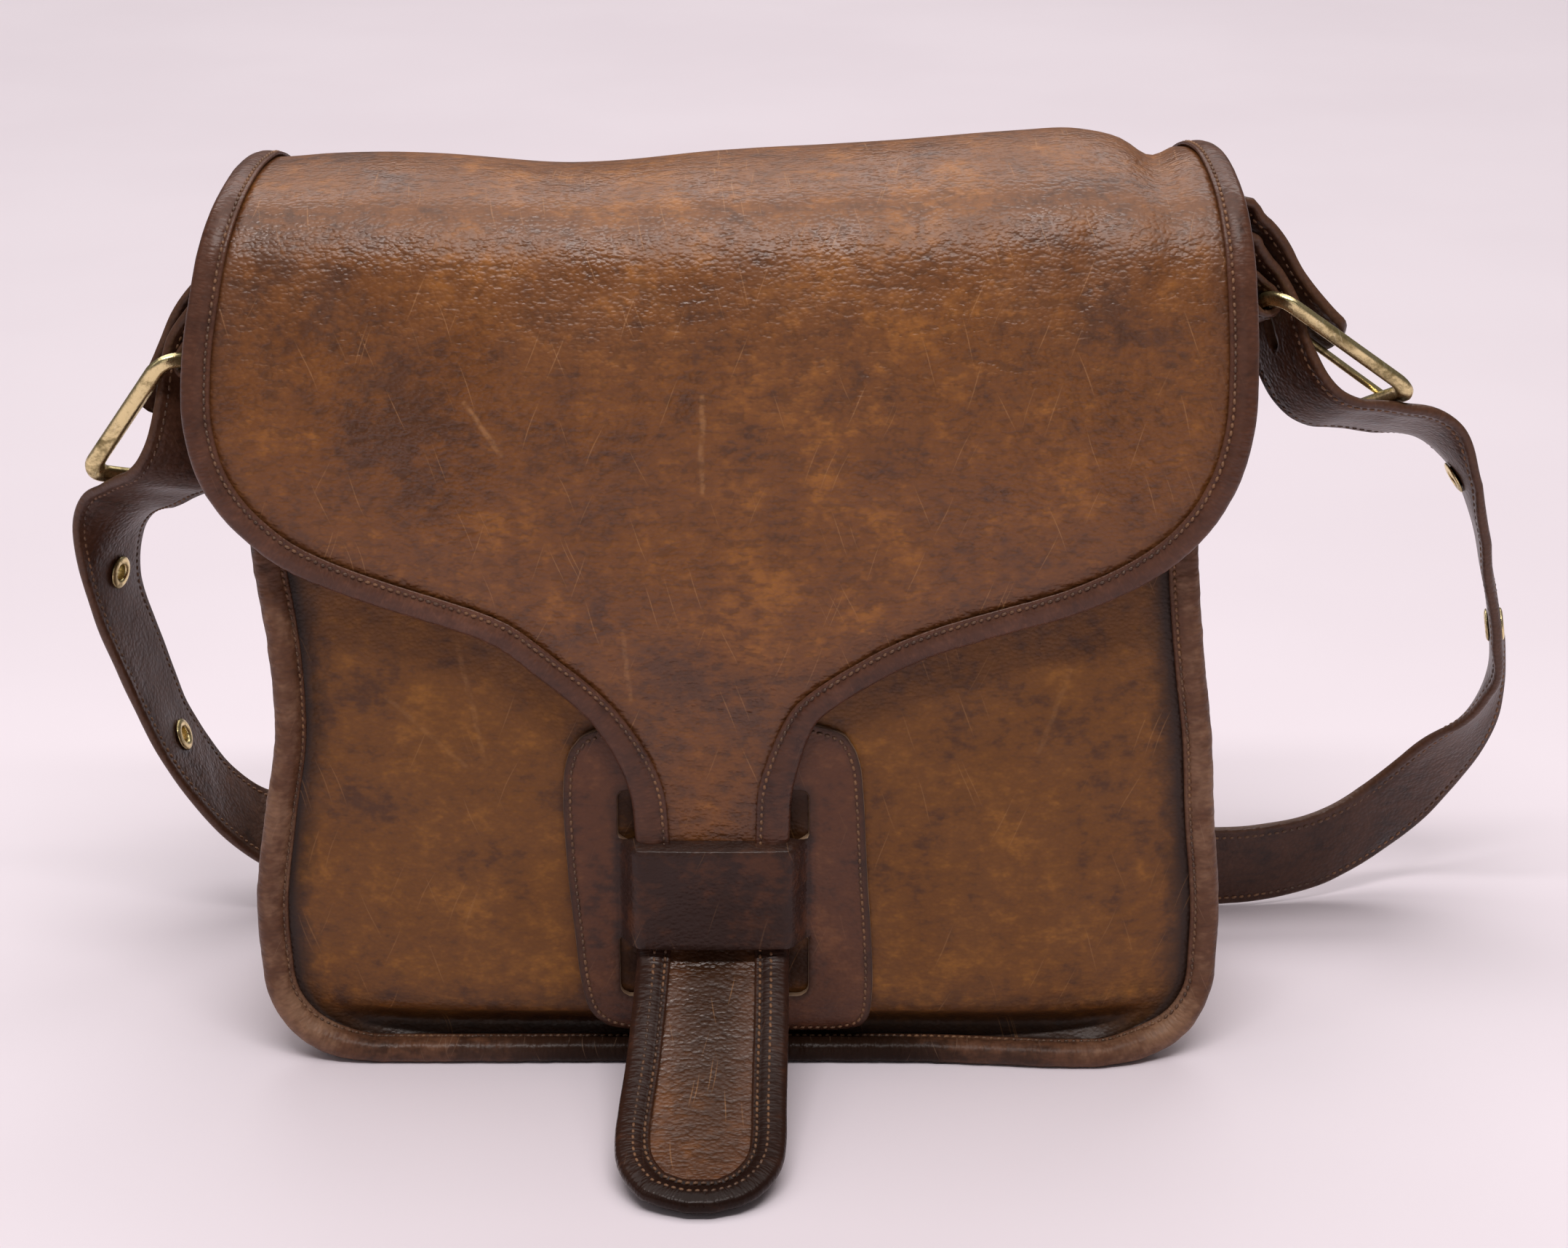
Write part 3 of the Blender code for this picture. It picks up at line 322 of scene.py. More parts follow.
# Second row of stitches on the tongue, this far in from the binding's own
TONGUE_ROWS_APART = 3.1

# Strap and tabs: their stitched grooves, their slight crown and the round ends of the strap
STRAP_GROOVE_IN = 3.1
STRAP_GROOVE = 0.45
STRAP_CROWN = 0.25
STRAP_TIP = 7.0
TAB_GROOVE_IN = 2.6
TAB_GROOVE = 0.3
TAB_CROWN = 0.1
GROOVE_WIDTH = 0.55
# No stitches this near to their ends
STRAP_UNSEWN = 8.0
TAB_UNSEWN = 3.0

# Bridge of the patch: its crown, how far its upper edge sags (it rises a little), how wide its shoulders
# are, and the rounding of the patch's cut edges
BRIDGE_CROWN = 1.0
BRIDGE_SAG = -0.4
BRIDGE_ROUND = 6.4
PATCH_EDGE_ROUND = 0.45

# The groove that the belly leaves above the foot's flange
FOOT_GROOVE = 4.0
FOOT_GROOVE_HEIGHT = 12.0
FOOT_GROOVE_FADE = 20.0

# How far out the gusset's wall stands across its depth, how flat its foot lies, and where it is loose
# enough to wrinkle, as (share of the depth, share of the full amount)
GUSSET_STAND = [
    (0, 0), (0.05, 0.42), (0.12, 0.78), (0.25, 1), (0.75, 1), (0.88, 0.78), (0.95, 0.42), (1, 0),
]
GUSSET_FLAT = [(0, 0), (0.1, 1), (0.9, 1), (1, 0)]
GUSSET_LOOSE = [(0, 0), (0.15, 1), (0.85, 1), (1, 0)]
# The gusset lies on the floor below the first height, and leaves it over the second
GUSSET_FOOT = 2.8
GUSSET_FOOT_FADE = 1.7

# Unevenness of the leathers (height, size of the lumps along X, Y and Z, seed)
GUSSET_LUMPS = [(1.3, (30, 26, 48), 3), (0.6, (20, 14, 18), 4)]
PANEL_LUMPS = [(0.9, (70, 40, 60), 11), (0.35, (24, 24, 15), 12)]
FLAP_LUMPS = [(0.8, (64, 50, 50), 21), (0.3, (22, 22, 16), 22)]
FLAP_CREASES = [(0.34, (13, 4.2, 4.2), 23)]
BINDING_CRINKLES = [(0.34, (2.4, 7.0, 1), 31), (0.24, (6.5, 5.0, 1), 32)]
PATCH_LUMPS = [(0.35, (26, 26, 20), 41)]
STRAP_LUMPS = [(0.3, (12, 12, 12), 51)]
TAB_LUMPS = [(0.12, (12, 12, 12), 61)]
# The lumps fade out towards the sewn edges over these distances
PANEL_FADE = 16.0
FLAP_FADE = 12.0
PATCH_FADE = 8.0
# The flap's folds and swells end at the first Y, its darker and lighter places at the second
SWELLS_END = 10.0
TONES_END = 20.0

# Drawn folds (x, z, end x, end z, width, height)
FLAP_FOLDS = [
    (98, 248, 90, 222, 5.0, -1.2), (112, 246, 108, 226, 4.0, 0.9), (84, 236, 70, 228, 5.0, -0.5),
    (-120, 236, -112, 205, 6.0, 0.7), (-100, 172, -60, 158, 9.0, 0.5), (60, 168, 100, 176, 9.0, 0.5),
]
PANEL_FOLDS = [
    (-112, 28, -60, 20, 7.0, 0.9), (112, 30, 66, 21, 7.0, 0.9), (-104, 50, -96, 110, 9.0, -0.6),
    (104, 48, 98, 105, 9.0, -0.6),
]
# Where the flap is finely creased (x, z, radius x, radius z, amount)
CREASED_PLACES = [
    (20, 228, 110, 26, 0.9), (-30, 168, 70, 30, 0.6), (-7, 48, 17, 27, 2.4), (70, 200, 60, 50, 0.8),
    (-7, 130, 46, 24, 0.7),
]
# Soft swells and hollows of the flap over what is inside (x, z, radius x, radius z, rise in mm)
FLAP_SWELLS = [
    (2, 140, 80, 36, 2.4), (62, 192, 44, 44, 1.3), (-88, 190, 26, 70, -1.3), (-40, 212, 60, 22, 1.2),
    (114, 190, 20, 50, -0.9),
]
# Lighter and darker places of the hides (x, z, radius x, radius z, tone): the hides' own tone, with painted
# light and shade among them
# On the flap, painted shade darkens the valley and the band down the left side, and a painted highlight
# lightens the broad swell at the lower middle; the other rows darken the tongue and lighten its tip and
# some patches
FLAP_TONES_AND_PAINTED_LIGHT = [
    (-105, 215, 50, 60, -0.34), (-122, 160, 26, 60, -0.20), (-88, 190, 26, 60, -0.22),
    (0, 143, 60, 26, 0.16), (20, 185, 90, 40, 0.08), (60, 175, 50, 26, 0.10), (-110, 185, 30, 34, 0.12),
    (-10, 128, 26, 24, -0.25), (105, 222, 40, 40, -0.16), (-8, 4, 20, 10, 0.10),
    (-7, 34, 34, 76, -0.88), (-7, 104, 40, 34, -0.34), (-60, 165, 50, 20, -0.08),
    (110, 180, 26, 30, 0.08),
]
# On the front panel, painted shade darkens it under the flap's edge and above the foot, and very strongly
# where it shows through the patch's slots; the lighter rows are the hide's own tone
PANEL_TONES_AND_PAINTED_SHADE = [
    (-90, 45, 34, 26, 0.16), (90, 40, 34, 26, 0.16), (-70, 130, 60, 30, -0.14),
    (70, 128, 60, 30, -0.16), (-80, 80, 40, 30, 0.08), (86, 90, 40, 30, 0.08), (-7, 20, 60, 20, -0.10),
    (-7, 79, 52, 20, -1.5), (-7, 32, 52, 20, -1.5),
]
BRIDGE_TONE = -0.62
BRIDGE_TONE_FADE = 3.0
# Darker and lighter stretches of the bindings (x, z, radius x, radius z, tone)
FLAP_BINDING_TONES = [
    (-7, 30, 60, 90, -0.85), (-7, 0, 60, 30, -0.3), (-70, 145, 70, 40, 0.35), (60, 140, 60, 40, 0.3),
]
# On the front binding, the dark stretch along the foot is painted shade under the belly; the lighter
# stretches up the sides and at the worn corners are the binding's own colour
FRONT_BINDING_TONES_AND_PAINTED_SHADE = [
    (-130, 75, 14, 80, 0.50), (132, 80, 14, 70, 0.35), (-124, 12, 24, 22, 0.8), (122, 12, 22, 22, 0.65),
    (0, 0, 116, 26, -1.5),
]

# Cast bar of the buckle frames as (outward, upward), with its ridge, and how much fuller it is drawn
BAR_FULLNESS = 1.18
FRAME_BAR = [
    (-2.2, -0.55), (-2.25, 0.0), (-2.2, 0.55), (-1.7, 1.05), (-0.5, 1.66), (0.0, 1.8), (0.5, 1.66),
    (1.7, 1.05), (2.2, 0.55), (2.25, 0.0), (2.2, -0.55), (1.7, -1.05), (0.5, -1.66), (0.0, -1.8),
    (-0.5, -1.66), (-1.7, -1.05),
]

# Finishes of the hides: tones from the hollows to the rubbed places, a colour at the edges that on the body
# is painted shade, painted shade in the grain's hollows, and grain
LEATHERS = {
    "flap_hide": {
        "dark": (0.100, 0.037, 0.015, 1), "middle": (0.170, 0.057, 0.013, 1),
        "light": (0.305, 0.108, 0.018, 1), "contrast": 1.0, "strip": False, "stretch": (0.8, 1.0, 1.0),
        "pebbles": 900.0, "creases": 0.6, "scuff": (0.40, 0.19, 0.075, 1), "scuff_size": 1.0,
        "scuffs": 0.42, "edge": (0.10, 0.036, 0.016, 1), "edge_width": 0.006, "edge_amount": 0.45,
        "hollow": 0.78, "rough": (0.31, 0.44), "specular": 0.52, "swell": 0.10, "bump": 0.38,
    },
    "body_hide": {
        "dark": (0.090, 0.033, 0.012, 1), "middle": (0.172, 0.062, 0.013, 1),
        "light": (0.295, 0.114, 0.020, 1), "contrast": 1.0, "strip": False, "stretch": (0.8, 1.0, 1.0),
        "pebbles": 950.0, "creases": 0.2, "scuff": (0.36, 0.17, 0.065, 1), "scuff_size": 0.9,
        # the body's near-black edge colour is painted shade in the folds beside the bindings and in the
        # groove above the foot
        "scuffs": 0.38, "edge": (0.022, 0.010, 0.007, 1), "edge_width": 0.012, "edge_amount": 0.95,
        "hollow": 0.90, "rough": (0.38, 0.54), "specular": 0.34, "swell": 0.10, "bump": 0.28,
    },
    "binding_hide": {
        "dark": (0.044, 0.018, 0.012, 1), "middle": (0.094, 0.035, 0.019, 1),
        "light": (0.165, 0.065, 0.035, 1), "contrast": 0.8, "strip": True, "stretch": (1.7, 0.7, 1.0),
        "pebbles": 620.0, "creases": 0.2, "scuff": (0.24, 0.12, 0.065, 1), "scuff_size": 1.6,
        "scuffs": 0.2, "edge": (0.11, 0.042, 0.022, 1), "edge_width": 0.0010, "edge_amount": 0.4,
        "hollow": 0.84, "rough": (0.30, 0.44), "specular": 0.34, "swell": 0.12, "bump": 0.28,
    },
    "worn_binding_hide": {
        "dark": (0.050, 0.021, 0.012, 1), "middle": (0.120, 0.050, 0.026, 1),
        "light": (0.240, 0.125, 0.072, 1), "contrast": 0.9, "strip": True, "stretch": (1.5, 0.7, 1.0),
        "pebbles": 620.0, "creases": 0.35, "scuff": (0.32, 0.19, 0.12, 1), "scuff_size": 1.6,
        "scuffs": 0.3, "edge": (0.07, 0.028, 0.016, 1), "edge_width": 0.0012, "edge_amount": 0.5,
        "hollow": 0.86, "rough": (0.38, 0.52), "specular": 0.26, "swell": 0.22, "bump": 0.36,
    },
    "patch_hide": {
        "dark": (0.042, 0.018, 0.013, 1), "middle": (0.105, 0.037, 0.018, 1),
        "light": (0.190, 0.072, 0.030, 1), "contrast": 0.9, "strip": False, "stretch": (0.8, 1.0, 1.0),
        "pebbles": 950.0, "creases": 0.15, "scuff": (0.26, 0.13, 0.065, 1), "scuff_size": 1.1,
        "scuffs": 0.25, "edge": (0.026, 0.012, 0.008, 1), "edge_width": 0.0030, "edge_amount": 0.8,
        "hollow": 0.93, "rough": (0.36, 0.50), "specular": 0.36, "swell": 0.10, "bump": 0.25,
    },
    "strap_hide": {
        "dark": (0.028, 0.012, 0.008, 1), "middle": (0.066, 0.026, 0.014, 1),
        "light": (0.115, 0.050, 0.029, 1), "contrast": 0.8, "strip": False, "stretch": (1.0, 1.0, 1.0),
        "pebbles": 760.0, "creases": 0.3, "scuff": (0.20, 0.11, 0.065, 1), "scuff_size": 1.4,
        "scuffs": 0.25, "edge": (0.105, 0.046, 0.025, 1), "edge_width": 0.0014, "edge_amount": 0.8,
        "hollow": 0.84, "rough": (0.34, 0.48), "specular": 0.36, "swell": 0.12, "bump": 0.30,
    },
}
# The wax's sheen is slightly warm
SHEEN_TINT = (1.0, 0.92, 0.89, 1)

# Bare cut edges darkened by handling, and twisted waxed thread: noise as (scale, detail, roughness)
FIBRES = {
    "cut_edge": {
        "stain": (60.0, 4.0, 0.6), "stained": (0.35, 0.65), "fibres": (900.0, 4.0, 0.7),
        "first": (0.27, 0.165, 0.095, 1), "second": (0.12, 0.062, 0.034, 1), "pale": (0.33, 0.22, 0.13, 1),
        "paler": (0.55, 0.8, 0.0, 0.5), "rough": (0.55, 0.8), "rough_fibres": True, "depth": 0.0003,
    },
    "waxed_thread": {
        "stain": (45.0, 4.0, 0.6), "stained": (0.36, 0.66), "fibres": (2600.0, 2.0, 0.5),
        "first": (0.060, 0.027, 0.015, 1), "second": (0.215, 0.098, 0.042, 1),
        "pale": (0.30, 0.165, 0.085, 1),
        "paler": (0.5, 0.75, 0.0, 0.4), "rough": (0.42, 0.62), "rough_fibres": False, "depth": 0.0002,
    },
}
BRASS_RUBBED = (0.78, 0.64, 0.34, 1)
BRASS_DULL = (0.28, 0.22, 0.10, 1)
BRASS_SCRATCHED = (0.84, 0.77, 0.56, 1)

# Streaks and creases are drawn out along X
STREAK = (0.6, 1.0, 1.0)

# Noise behind the looks (scale, detail, roughness)
CLOUDS = (24.0, 2.0, 0.55)
PATCHES = (85.0, 3.0, 0.62)
STREAKS = (430.0, 2.0, 0.6)
GLOSS = (34.0, 1.0, 0.6)
SOFT_SWELLS = (150.0, 1.0, 0.55)
WEAR_BREAKS = (210.0, 2.0, 0.65)
SCRATCH_WANDER = (160.0, 2.0, 0.6)
SCRATCH_BREAKS = (420.0, 2.0, 0.6)
BRASS_PATCHES = (130.0, 5.0, 0.62, 0.4)
BRASS_SPECKS = (1300.0, 3.0, 0.6)
FLOOR_CLOUDS = (4.0, 3.0, 0.5)
SCRATCH_SWAY = (30.0, 1.0)
MIDDLE_OF_NOISE = (0.3, 0.7)

# Tones of a hide: the weights of clouds, patches and streaks, and where one tone passes into the next
TONE_WEIGHTS = (0.7, 1.1, 0.75)
DARK_TO_MIDDLE = (0.15, 0.5)
MIDDLE_TO_LIGHT = (0.48, 0.95)
# The darkest given tones, which carry the painted shade in the patch's slots and along the foot, darken the
# colour further and dull its sheen
DARK_AND_SHADED_PLACES = (0.0, 0.32)
DARK_AND_SHADED_PLACES_COLOUR = 0.34
DARK_AND_SHADED_PLACES_SPECULAR = 0.4

# Grain: how far a pebble's face and a crease's line reach, the pebbles' share, and depths in metres
PEBBLE_FACE = (0.15, 0.8)
CREASE_LINE = (0.34, 0.54)
PEBBLE_SHARE = 0.55
# painted shade: the colour darkens in the grain's hollows, down to each hide's hollow value
HOLLOW_SHADE = (0.25, 0.8)
SWELL_DEPTH = 0.0022
GRAIN_DEPTH = 0.0005
SCUFF_ROUGHNESS = 0.15
SHADE_ROUGHNESS = 0.16

# Scattered scratches: sway and share shown; long ones: wander, half width, gaps and the front's depth
SCUFF_SWAY = 0.006
SCUFF_CELLS = (55.0, 70.0, 2100.0)
SCUFFS_SHOWN = 0.976
SCUFF_LINE = (0.12, 0.5)
SCRATCH_ASIDE = 0.0016
SCRATCH_LINE = (0.0002, 0.0011)
SCRATCH_SHOWN = 0.8
SCRATCH_GAPS = (0.35, 0.6, 0.25, 1.0)
SCRATCH_FRONT = (-0.02, -0.01)

# Brass: where its patina lies, how rough it is, and the depth of its pits in metres
PATINA = (0.56, 0.82)
SPECKS_SHARE = 0.25
BRASS_ROUGHNESS = 0.24
PATINA_ROUGHNESS = 0.24
BRASS_SCUFFS = {"Size": 3.0, "Amount": 0.6}
BRASS_PITS = {"Strength": 0.12, "Distance": 0.0004}
FIBRE_BUMP = 0.5
FLOOR_SHEEN = {"Roughness": 0.55, "Specular IOR Level": 0.25}

# Scratches: the directions of the scattered ones, and the long ones as (x, z, end x, end z, strength)
SCRATCH_ANGLES = (68.0, 110.0)
SCRATCHES = {
    "flap_hide": [
        (-9.1, 200.7, -9.4, 175.1, 0.55), (-72.6, 198.9, -63.3, 185.2, 0.6),
        (-31.2, 135.7, -29.6, 115.4, 0.4),
    ],
    "body_hide": [
        (-77.7, 128.5, -70.7, 93.7, 0.4), (-98.0, 112.0, -76.0, 92.0, 0.3), (92.0, 120.0, 84.0, 96.0, 0.3),
    ],
}

# Studio, in metres, with the camera's tilt in degrees and its lens in millimetres
CAMERA_PLACE = (0.0127, -0.9319, 0.4744)
CAMERA_TILT = 69.0
CAMERA_LENS = 79.2
FLOOR_HALF = 8.0
FLOOR_COLOURS = ((0.80, 0.705, 0.755, 1), (0.83, 0.735, 0.785, 1))
# (name, place, target, size, power, colour)
LIGHTS = [
    ("ceiling_softbox", (0.0, -0.05, 2.3), (0.0, 0.0, 0.1), (3.2, 1.8), 31.0, (1.0, 0.985, 0.975)),
    ("softbox_behind", (0.0, 2.0, 2.2), (0.0, 1.7, 0.0), (3.6, 1.4), 44.0, (1.0, 0.985, 0.985)),
    ("strip_over_front", (0.02, -0.60, 1.25), (0.0, -0.03, 0.2), (0.9, 0.09), 8.5, (1.0, 0.99, 0.99)),
    ("window_from_left", (-1.4, -0.8, 1.0), (0.0, 0.0, 0.12), (0.7, 0.9), 1.2, (0.96, 0.98, 1.0)),
    ("window_in_front", (0.25, -2.6, 0.60), (0.0, 0.0, 0.15), (1.1, 0.35), 2.0, (1.0, 0.98, 0.97)),
]
WORLD_COLOUR = (0.97, 0.94, 0.95, 1)
WORLD_STRENGTH = 0.15


def smooth_table(table, column, at):
    """A column of a table against its first column, as a smooth curve through the rows."""
    xs = np.array([row[0] for row in table], float)
    ys = np.array([row[column] for row in table], float)
    return smooth_curve(xs, ys, at)


def smooth_curve(xs, ys, at):
    """Cubic through (xs, ys) with slopes read from each point's neighbours; flat beyond its ends."""
    at = np.clip(np.asarray(at, float), xs[0], xs[-1])
    slopes = np.gradient(ys, xs, axis=0)
    index = np.clip(np.searchsorted(xs, at, side="right") - 1, 0, len(xs) - 2)
    width = xs[index + 1] - xs[index]
    t = (at - xs[index]) / width
    if ys.ndim > 1:
        t = t[..., None]
        width = width[..., None]
    start = (1 + 2 * t) * (1 - t) ** 2 * ys[index] + t * (1 - t) ** 2 * width * slopes[index]
    end = t * t * (3 - 2 * t) * ys[index + 1] + t * t * (t - 1) * width * slopes[index + 1]
    return start + end


def smooth_step(t):
    """0 up to 0, 1 from 1 on, and a smooth rise between."""
    t = np.clip(t, 0.0, 1.0)
    return t * t * (3 - 2 * t)


def ramp(table, at):
    """Straight lines through a table of (place, value)."""
    places, values = zip(*table)
    return np.interp(at, places, values)


def unit(vectors):
    """Vectors made one long."""
    vectors = np.asarray(vectors, float)
    return vectors / np.linalg.norm(vectors, axis=-1, keepdims=True)


def run_along(line):
    """Distance of each point of a line from its first point."""
    return np.concatenate([[0.0], np.cumsum(np.linalg.norm(np.diff(line, axis=0), axis=1))])


def read_along(run, values, at):
    """A value or a row of values for each distance, read from those known at the distances of run."""
    if values.ndim == 1:
        return np.interp(at, run, values)
    return np.stack([np.interp(at, run, column) for column in values.T], axis=-1)


def front_seam_y(x, z):
    """Where the front seam lies in depth, with the sway of its foot."""
    fade = 1 - smooth_step((np.asarray(z, float) - SEAM_Z) / SWAY_FADE)
    return smooth_table(BODY_DEPTH, 1, z) - fade * smooth_table(FOOT_SWAY, 1, x)


def belly_y(u, x, z):
    """Middle of the front panel's leather: u runs from -1 at the left seam to 1 at the right."""
    bulge = smooth_table(BELLY, 1, z) * (1 - np.abs(u) ** 4)
    at_seam = np.abs(u) ** 4
    return front_seam_y(x, z) * at_seam + smooth_table(BODY_DEPTH, 1, z) * (1 - at_seam) - bulge


def buckle_frame(side):
    """Middle of a buckle and its directions: down the rails, along the bars, towards the bag."""
    _, middle, down, along = next(row for row in BUCKLES if row[0] == side)
    down = unit(down)
    along = np.array(along) - down * np.dot(down, along)
    along = unit(along)
    return np.array(middle), down, along, np.cross(down, along)


def at_buckle(side, places):
    """Places given as (down the rails, along the bars, towards the bag), in the bag's frame."""
    middle, down, along, inward = buckle_frame(side)
    places = np.atleast_2d(np.asarray(places, float))
    return middle + places[:, :1] * down + places[:, 1:2] * along + places[:, 2:3] * inward


def strap_line():
    """The strap from its left end to its right end: distances, centres and crosswise directions."""
    left, right = (at_buckle(side, STRAP_AT_BUCKLE) for side in ("left", "right"))
    left_way, right_way = ([buckle_frame(side)[2]] * len(left) for side in ("left", "right"))
    route = np.array(STRAP_ROUTE, float)
    centres = np.vstack([left, route[:, :3], right[::-1]])
    directions = unit(np.vstack([left_way, route[:, 3:], right_way]))
    return run_along(centres), centres, directions


def strap_at(distances):
    """Centre, direction along and direction across the strap at distances from its left end."""
    run, centres, directions = strap_line()
    distances = np.asarray(distances, float)
    places = smooth_curve(run, centres, distances)
    ahead = smooth_curve(run, centres, distances + 0.5) - smooth_curve(run, centres, distances - 0.5)
    along = unit(ahead)
    across = smooth_curve(run, directions, distances)
    across = unit(across - along * np.sum(across * along, axis=-1, keepdims=True))
    return places, along, across


def foot_turn(t):
    """Share of the right angle by which the seam is turned flat, t from 0 to 1 along the round corner."""
    return smooth_step(1 - (CORNER_STEPS * t - 0.5) / (CORNER_STEPS - 0.5))


def body_levels(bottom):
    """Columns z, left, right and turn share for the body's rows, from the foot up."""
    first = bottom + CORNER_RADIUS
    t = np.arange(CORNER_FINE) / CORNER_FINE
    round_z = bottom + CORNER_RADIUS * (1 - np.cos(np.pi / 2 * t))
    z = np.concatenate([round_z, np.linspace(first, BODY_TOP, BODY_FINE)])
    inset = np.concatenate([CORNER_RADIUS * (1 - np.sin(np.pi / 2 * t)), np.zeros(BODY_FINE)])
    turn = np.concatenate([foot_turn(t), np.zeros(BODY_FINE)])
    outline_z = np.maximum(z, first)
    left = smooth_table(BODY_OUTLINE, 1, outline_z) - inset
    right = smooth_table(BODY_OUTLINE, 2, outline_z) - inset
    return np.column_stack([z, left, right, turn])


def spread(values, reach, closed):
    """Each row averaged with its neighbours to either side."""
    padded = np.pad(values, ((reach, reach), (0, 0)), mode="wrap" if closed else "edge")
    return sum(padded[k:k + len(values)] for k in range(2 * reach + 1)) / (2 * reach + 1)


def edge_directions(edge, normals, turns, closed):
    """For each point of a sheet's edge: the direction out along its flange, and the flange's normal."""
    if closed:
        along = np.roll(edge, -1, axis=0) - np.roll(edge, 1, axis=0)
    else:
        along = np.gradient(edge, axis=0)
    along = unit(spread(along, EDGE_SMOOTHING, closed))
    outward = unit(np.cross(along, normals))
    normals = unit(np.cross(outward, along))
    cosine = np.cos(np.radians(turns))[:, None]
    sine = np.sin(np.radians(turns))[:, None]
    return unit(cosine * outward + sine * normals), unit(cosine * normals - sine * outward)


def noise_at(points, size, seed):
    """Smooth noise from -1 to 1 at points in millimetres; size is that of its lumps along X, Y and Z."""
    flat = np.asarray(points, float).reshape(-1, 3) / np.array(size, float) + seed * SEED_SHIFT
    values = np.array([noise.noise(Vector(place)) for place in flat])
    return values.reshape(np.shape(points)[:-1])


def lumps_at(points, table):
    """Height of uneven leather, from a table of (height, size, seed)."""
    return sum(height * noise_at(points, size, seed) for height, size, seed in table)


def hill(points, middle, radius):
    """1 at the middle, falling to 0 at the radius; middle and radius are (x, z)."""
    away = ((points[..., 0] - middle[0]) / radius[0]) ** 2 + ((points[..., 2] - middle[1]) / radius[1]) ** 2
    return smooth_step(1 - np.sqrt(away))


def tone_of(points, patches):
    """How much lighter or darker the leather is, from a table of (x, z, radius x, radius z, tone)."""
    total = np.zeros(points.shape[:-1])
    for x, z, radius_x, radius_z, tone in patches:
        total += tone * hill(points, (x, z), (radius_x, radius_z))
    return total


def net(rows, columns, round_rows=False, round_columns=False):
    """Quads of a net of points, and each corner's row and column before they wrap round."""
    i = np.arange(rows if round_rows else rows - 1)
    j = np.arange(columns if round_columns else columns - 1)
    i, j = (grid.ravel() for grid in np.meshgrid(i, j, indexing="ij"))
    corner_i = np.stack([i, i, i + 1, i + 1], axis=1)
    corner_j = np.stack([j, j + 1, j + 1, j], axis=1)
    return corner_i % rows * columns + corner_j % columns, corner_i, corner_j


def runs(points, axis, closed=False):
    """Distance along a net's rows or columns, at the middle of the other way."""
    line = points[:, points.shape[1] // 2] if axis == 0 else points[points.shape[0] // 2]
    if closed:
        line = np.vstack([line, line[:1]])
    return run_along(line)


def put_in_scene(name, data):
    """A new object of the scene."""
    thing = bpy.data.objects.new(name, data)
    bpy.context.scene.collection.objects.link(thing)
    return thing


def add_mesh(name, points, faces, uv, edge_and_tone_with_painted_light, materials):
    """A mesh from points in millimetres, with its leather coordinates and its map of edge distance and
    tone, painted light and shade included in the tone.
    """
    mesh = bpy.data.meshes.new(name)
    places = (np.asarray(points).reshape(-1, 3) * MM).tolist()
    mesh.from_pydata(places, [], [list(map(int, face)) for face in faces])
    for label, values in (("leather", uv), ("edge_and_tone_with_painted_light", edge_and_tone_with_painted_light)):
        if values is not None:
            layer = mesh.uv_layers.new(name=label)
            layer.data.foreach_set("uv", np.asarray(values, np.float32).ravel())
    mesh.shade_smooth()
    for material in materials:
        mesh.materials.append(material)
    return put_in_scene(name, mesh)


def thicken(piece, thickness, even_offset):
    """A sheet of leather gets its thickness, with a second material on its rim if it has one."""
    solidify = piece.modifiers.new("thickness", "SOLIDIFY")
    solidify.thickness = thickness * MM
    solidify.offset = 0.0
    solidify.use_even_offset = even_offset
    if len(piece.data.materials) > 1:
        solidify.material_offset_rim = 1


def add_net(name, points, materials, tone=None, edge=None, thickness=None, **wrap):
    """A net of points as a mesh. edge is each point's distance from the piece's edge in millimetres."""
    rows, columns = points.shape[:2]
    faces, corner_i, corner_j = net(rows, columns, **wrap)
    u = runs(points, 0, wrap.get("round_rows", False))
    v = runs(points, 1, wrap.get("round_columns", False))
    uv = np.stack([u[corner_i], v[corner_j]], axis=-1) * MM
    flat = faces.ravel()
    edge = np.full(rows * columns, FAR_FROM_EDGE) if edge is None else np.asarray(edge).ravel()
    tone = np.zeros(rows * columns) if tone is None else np.asarray(tone).ravel()
    edge_and_tone_with_painted_light = np.stack([edge[flat] * MM, 0.5 + 0.5 * tone[flat]], axis=-1)
    piece = add_mesh(name, points, faces, uv, edge_and_tone_with_painted_light, materials)
    if thickness:
        thicken(piece, thickness, True)
    return piece


def belongs(piece, node_name):
    """The piece rides on the bag and stands for its CAD node."""
    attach(piece, "root")
    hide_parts(node_name)


def edge_distance(points):
    """Distance of each point of a net from its nearest edge."""
    down = runs(points, 0)
    return np.minimum(column_edge(points), np.minimum(down, down[-1] - down)[:, None])


def column_edge(points):
    """Distance of each point of a net from the nearer end of its row."""
    steps = np.linalg.norm(np.diff(points, axis=1), axis=2)
    run = np.concatenate([np.zeros((len(points), 1)), np.cumsum(steps, axis=1)], axis=1)
    return np.minimum(run, run[:, -1:] - run)


def front_sheet():
    """The front panel's net, and its seam from the top left, round the bottom, to the top right."""
    z, left, right, share = (column[:, None] for column in body_levels(SEAM_Z).T)
    u = np.linspace(-1, 1, ACROSS_FINE + 1)[None, :]
    x = -left + (u + 1) / 2 * (left + right)
    points = np.stack(np.broadcast_arrays(x, belly_y(u, x, z), z), axis=-1)
    edge = np.vstack([points[::-1, 0], points[0, 1:-1], points[:, -1]])
    sides = []
    for column in (3, 4):
        turn = smooth_table(BODY_OUTLINE, column, z[:, 0])
        sides.append(turn + (90 - turn) * share[:, 0])
    turns = np.concatenate([sides[0][::-1], np.full(ACROSS_FINE - 1, 90.0), sides[1]])
    return points, edge, turns


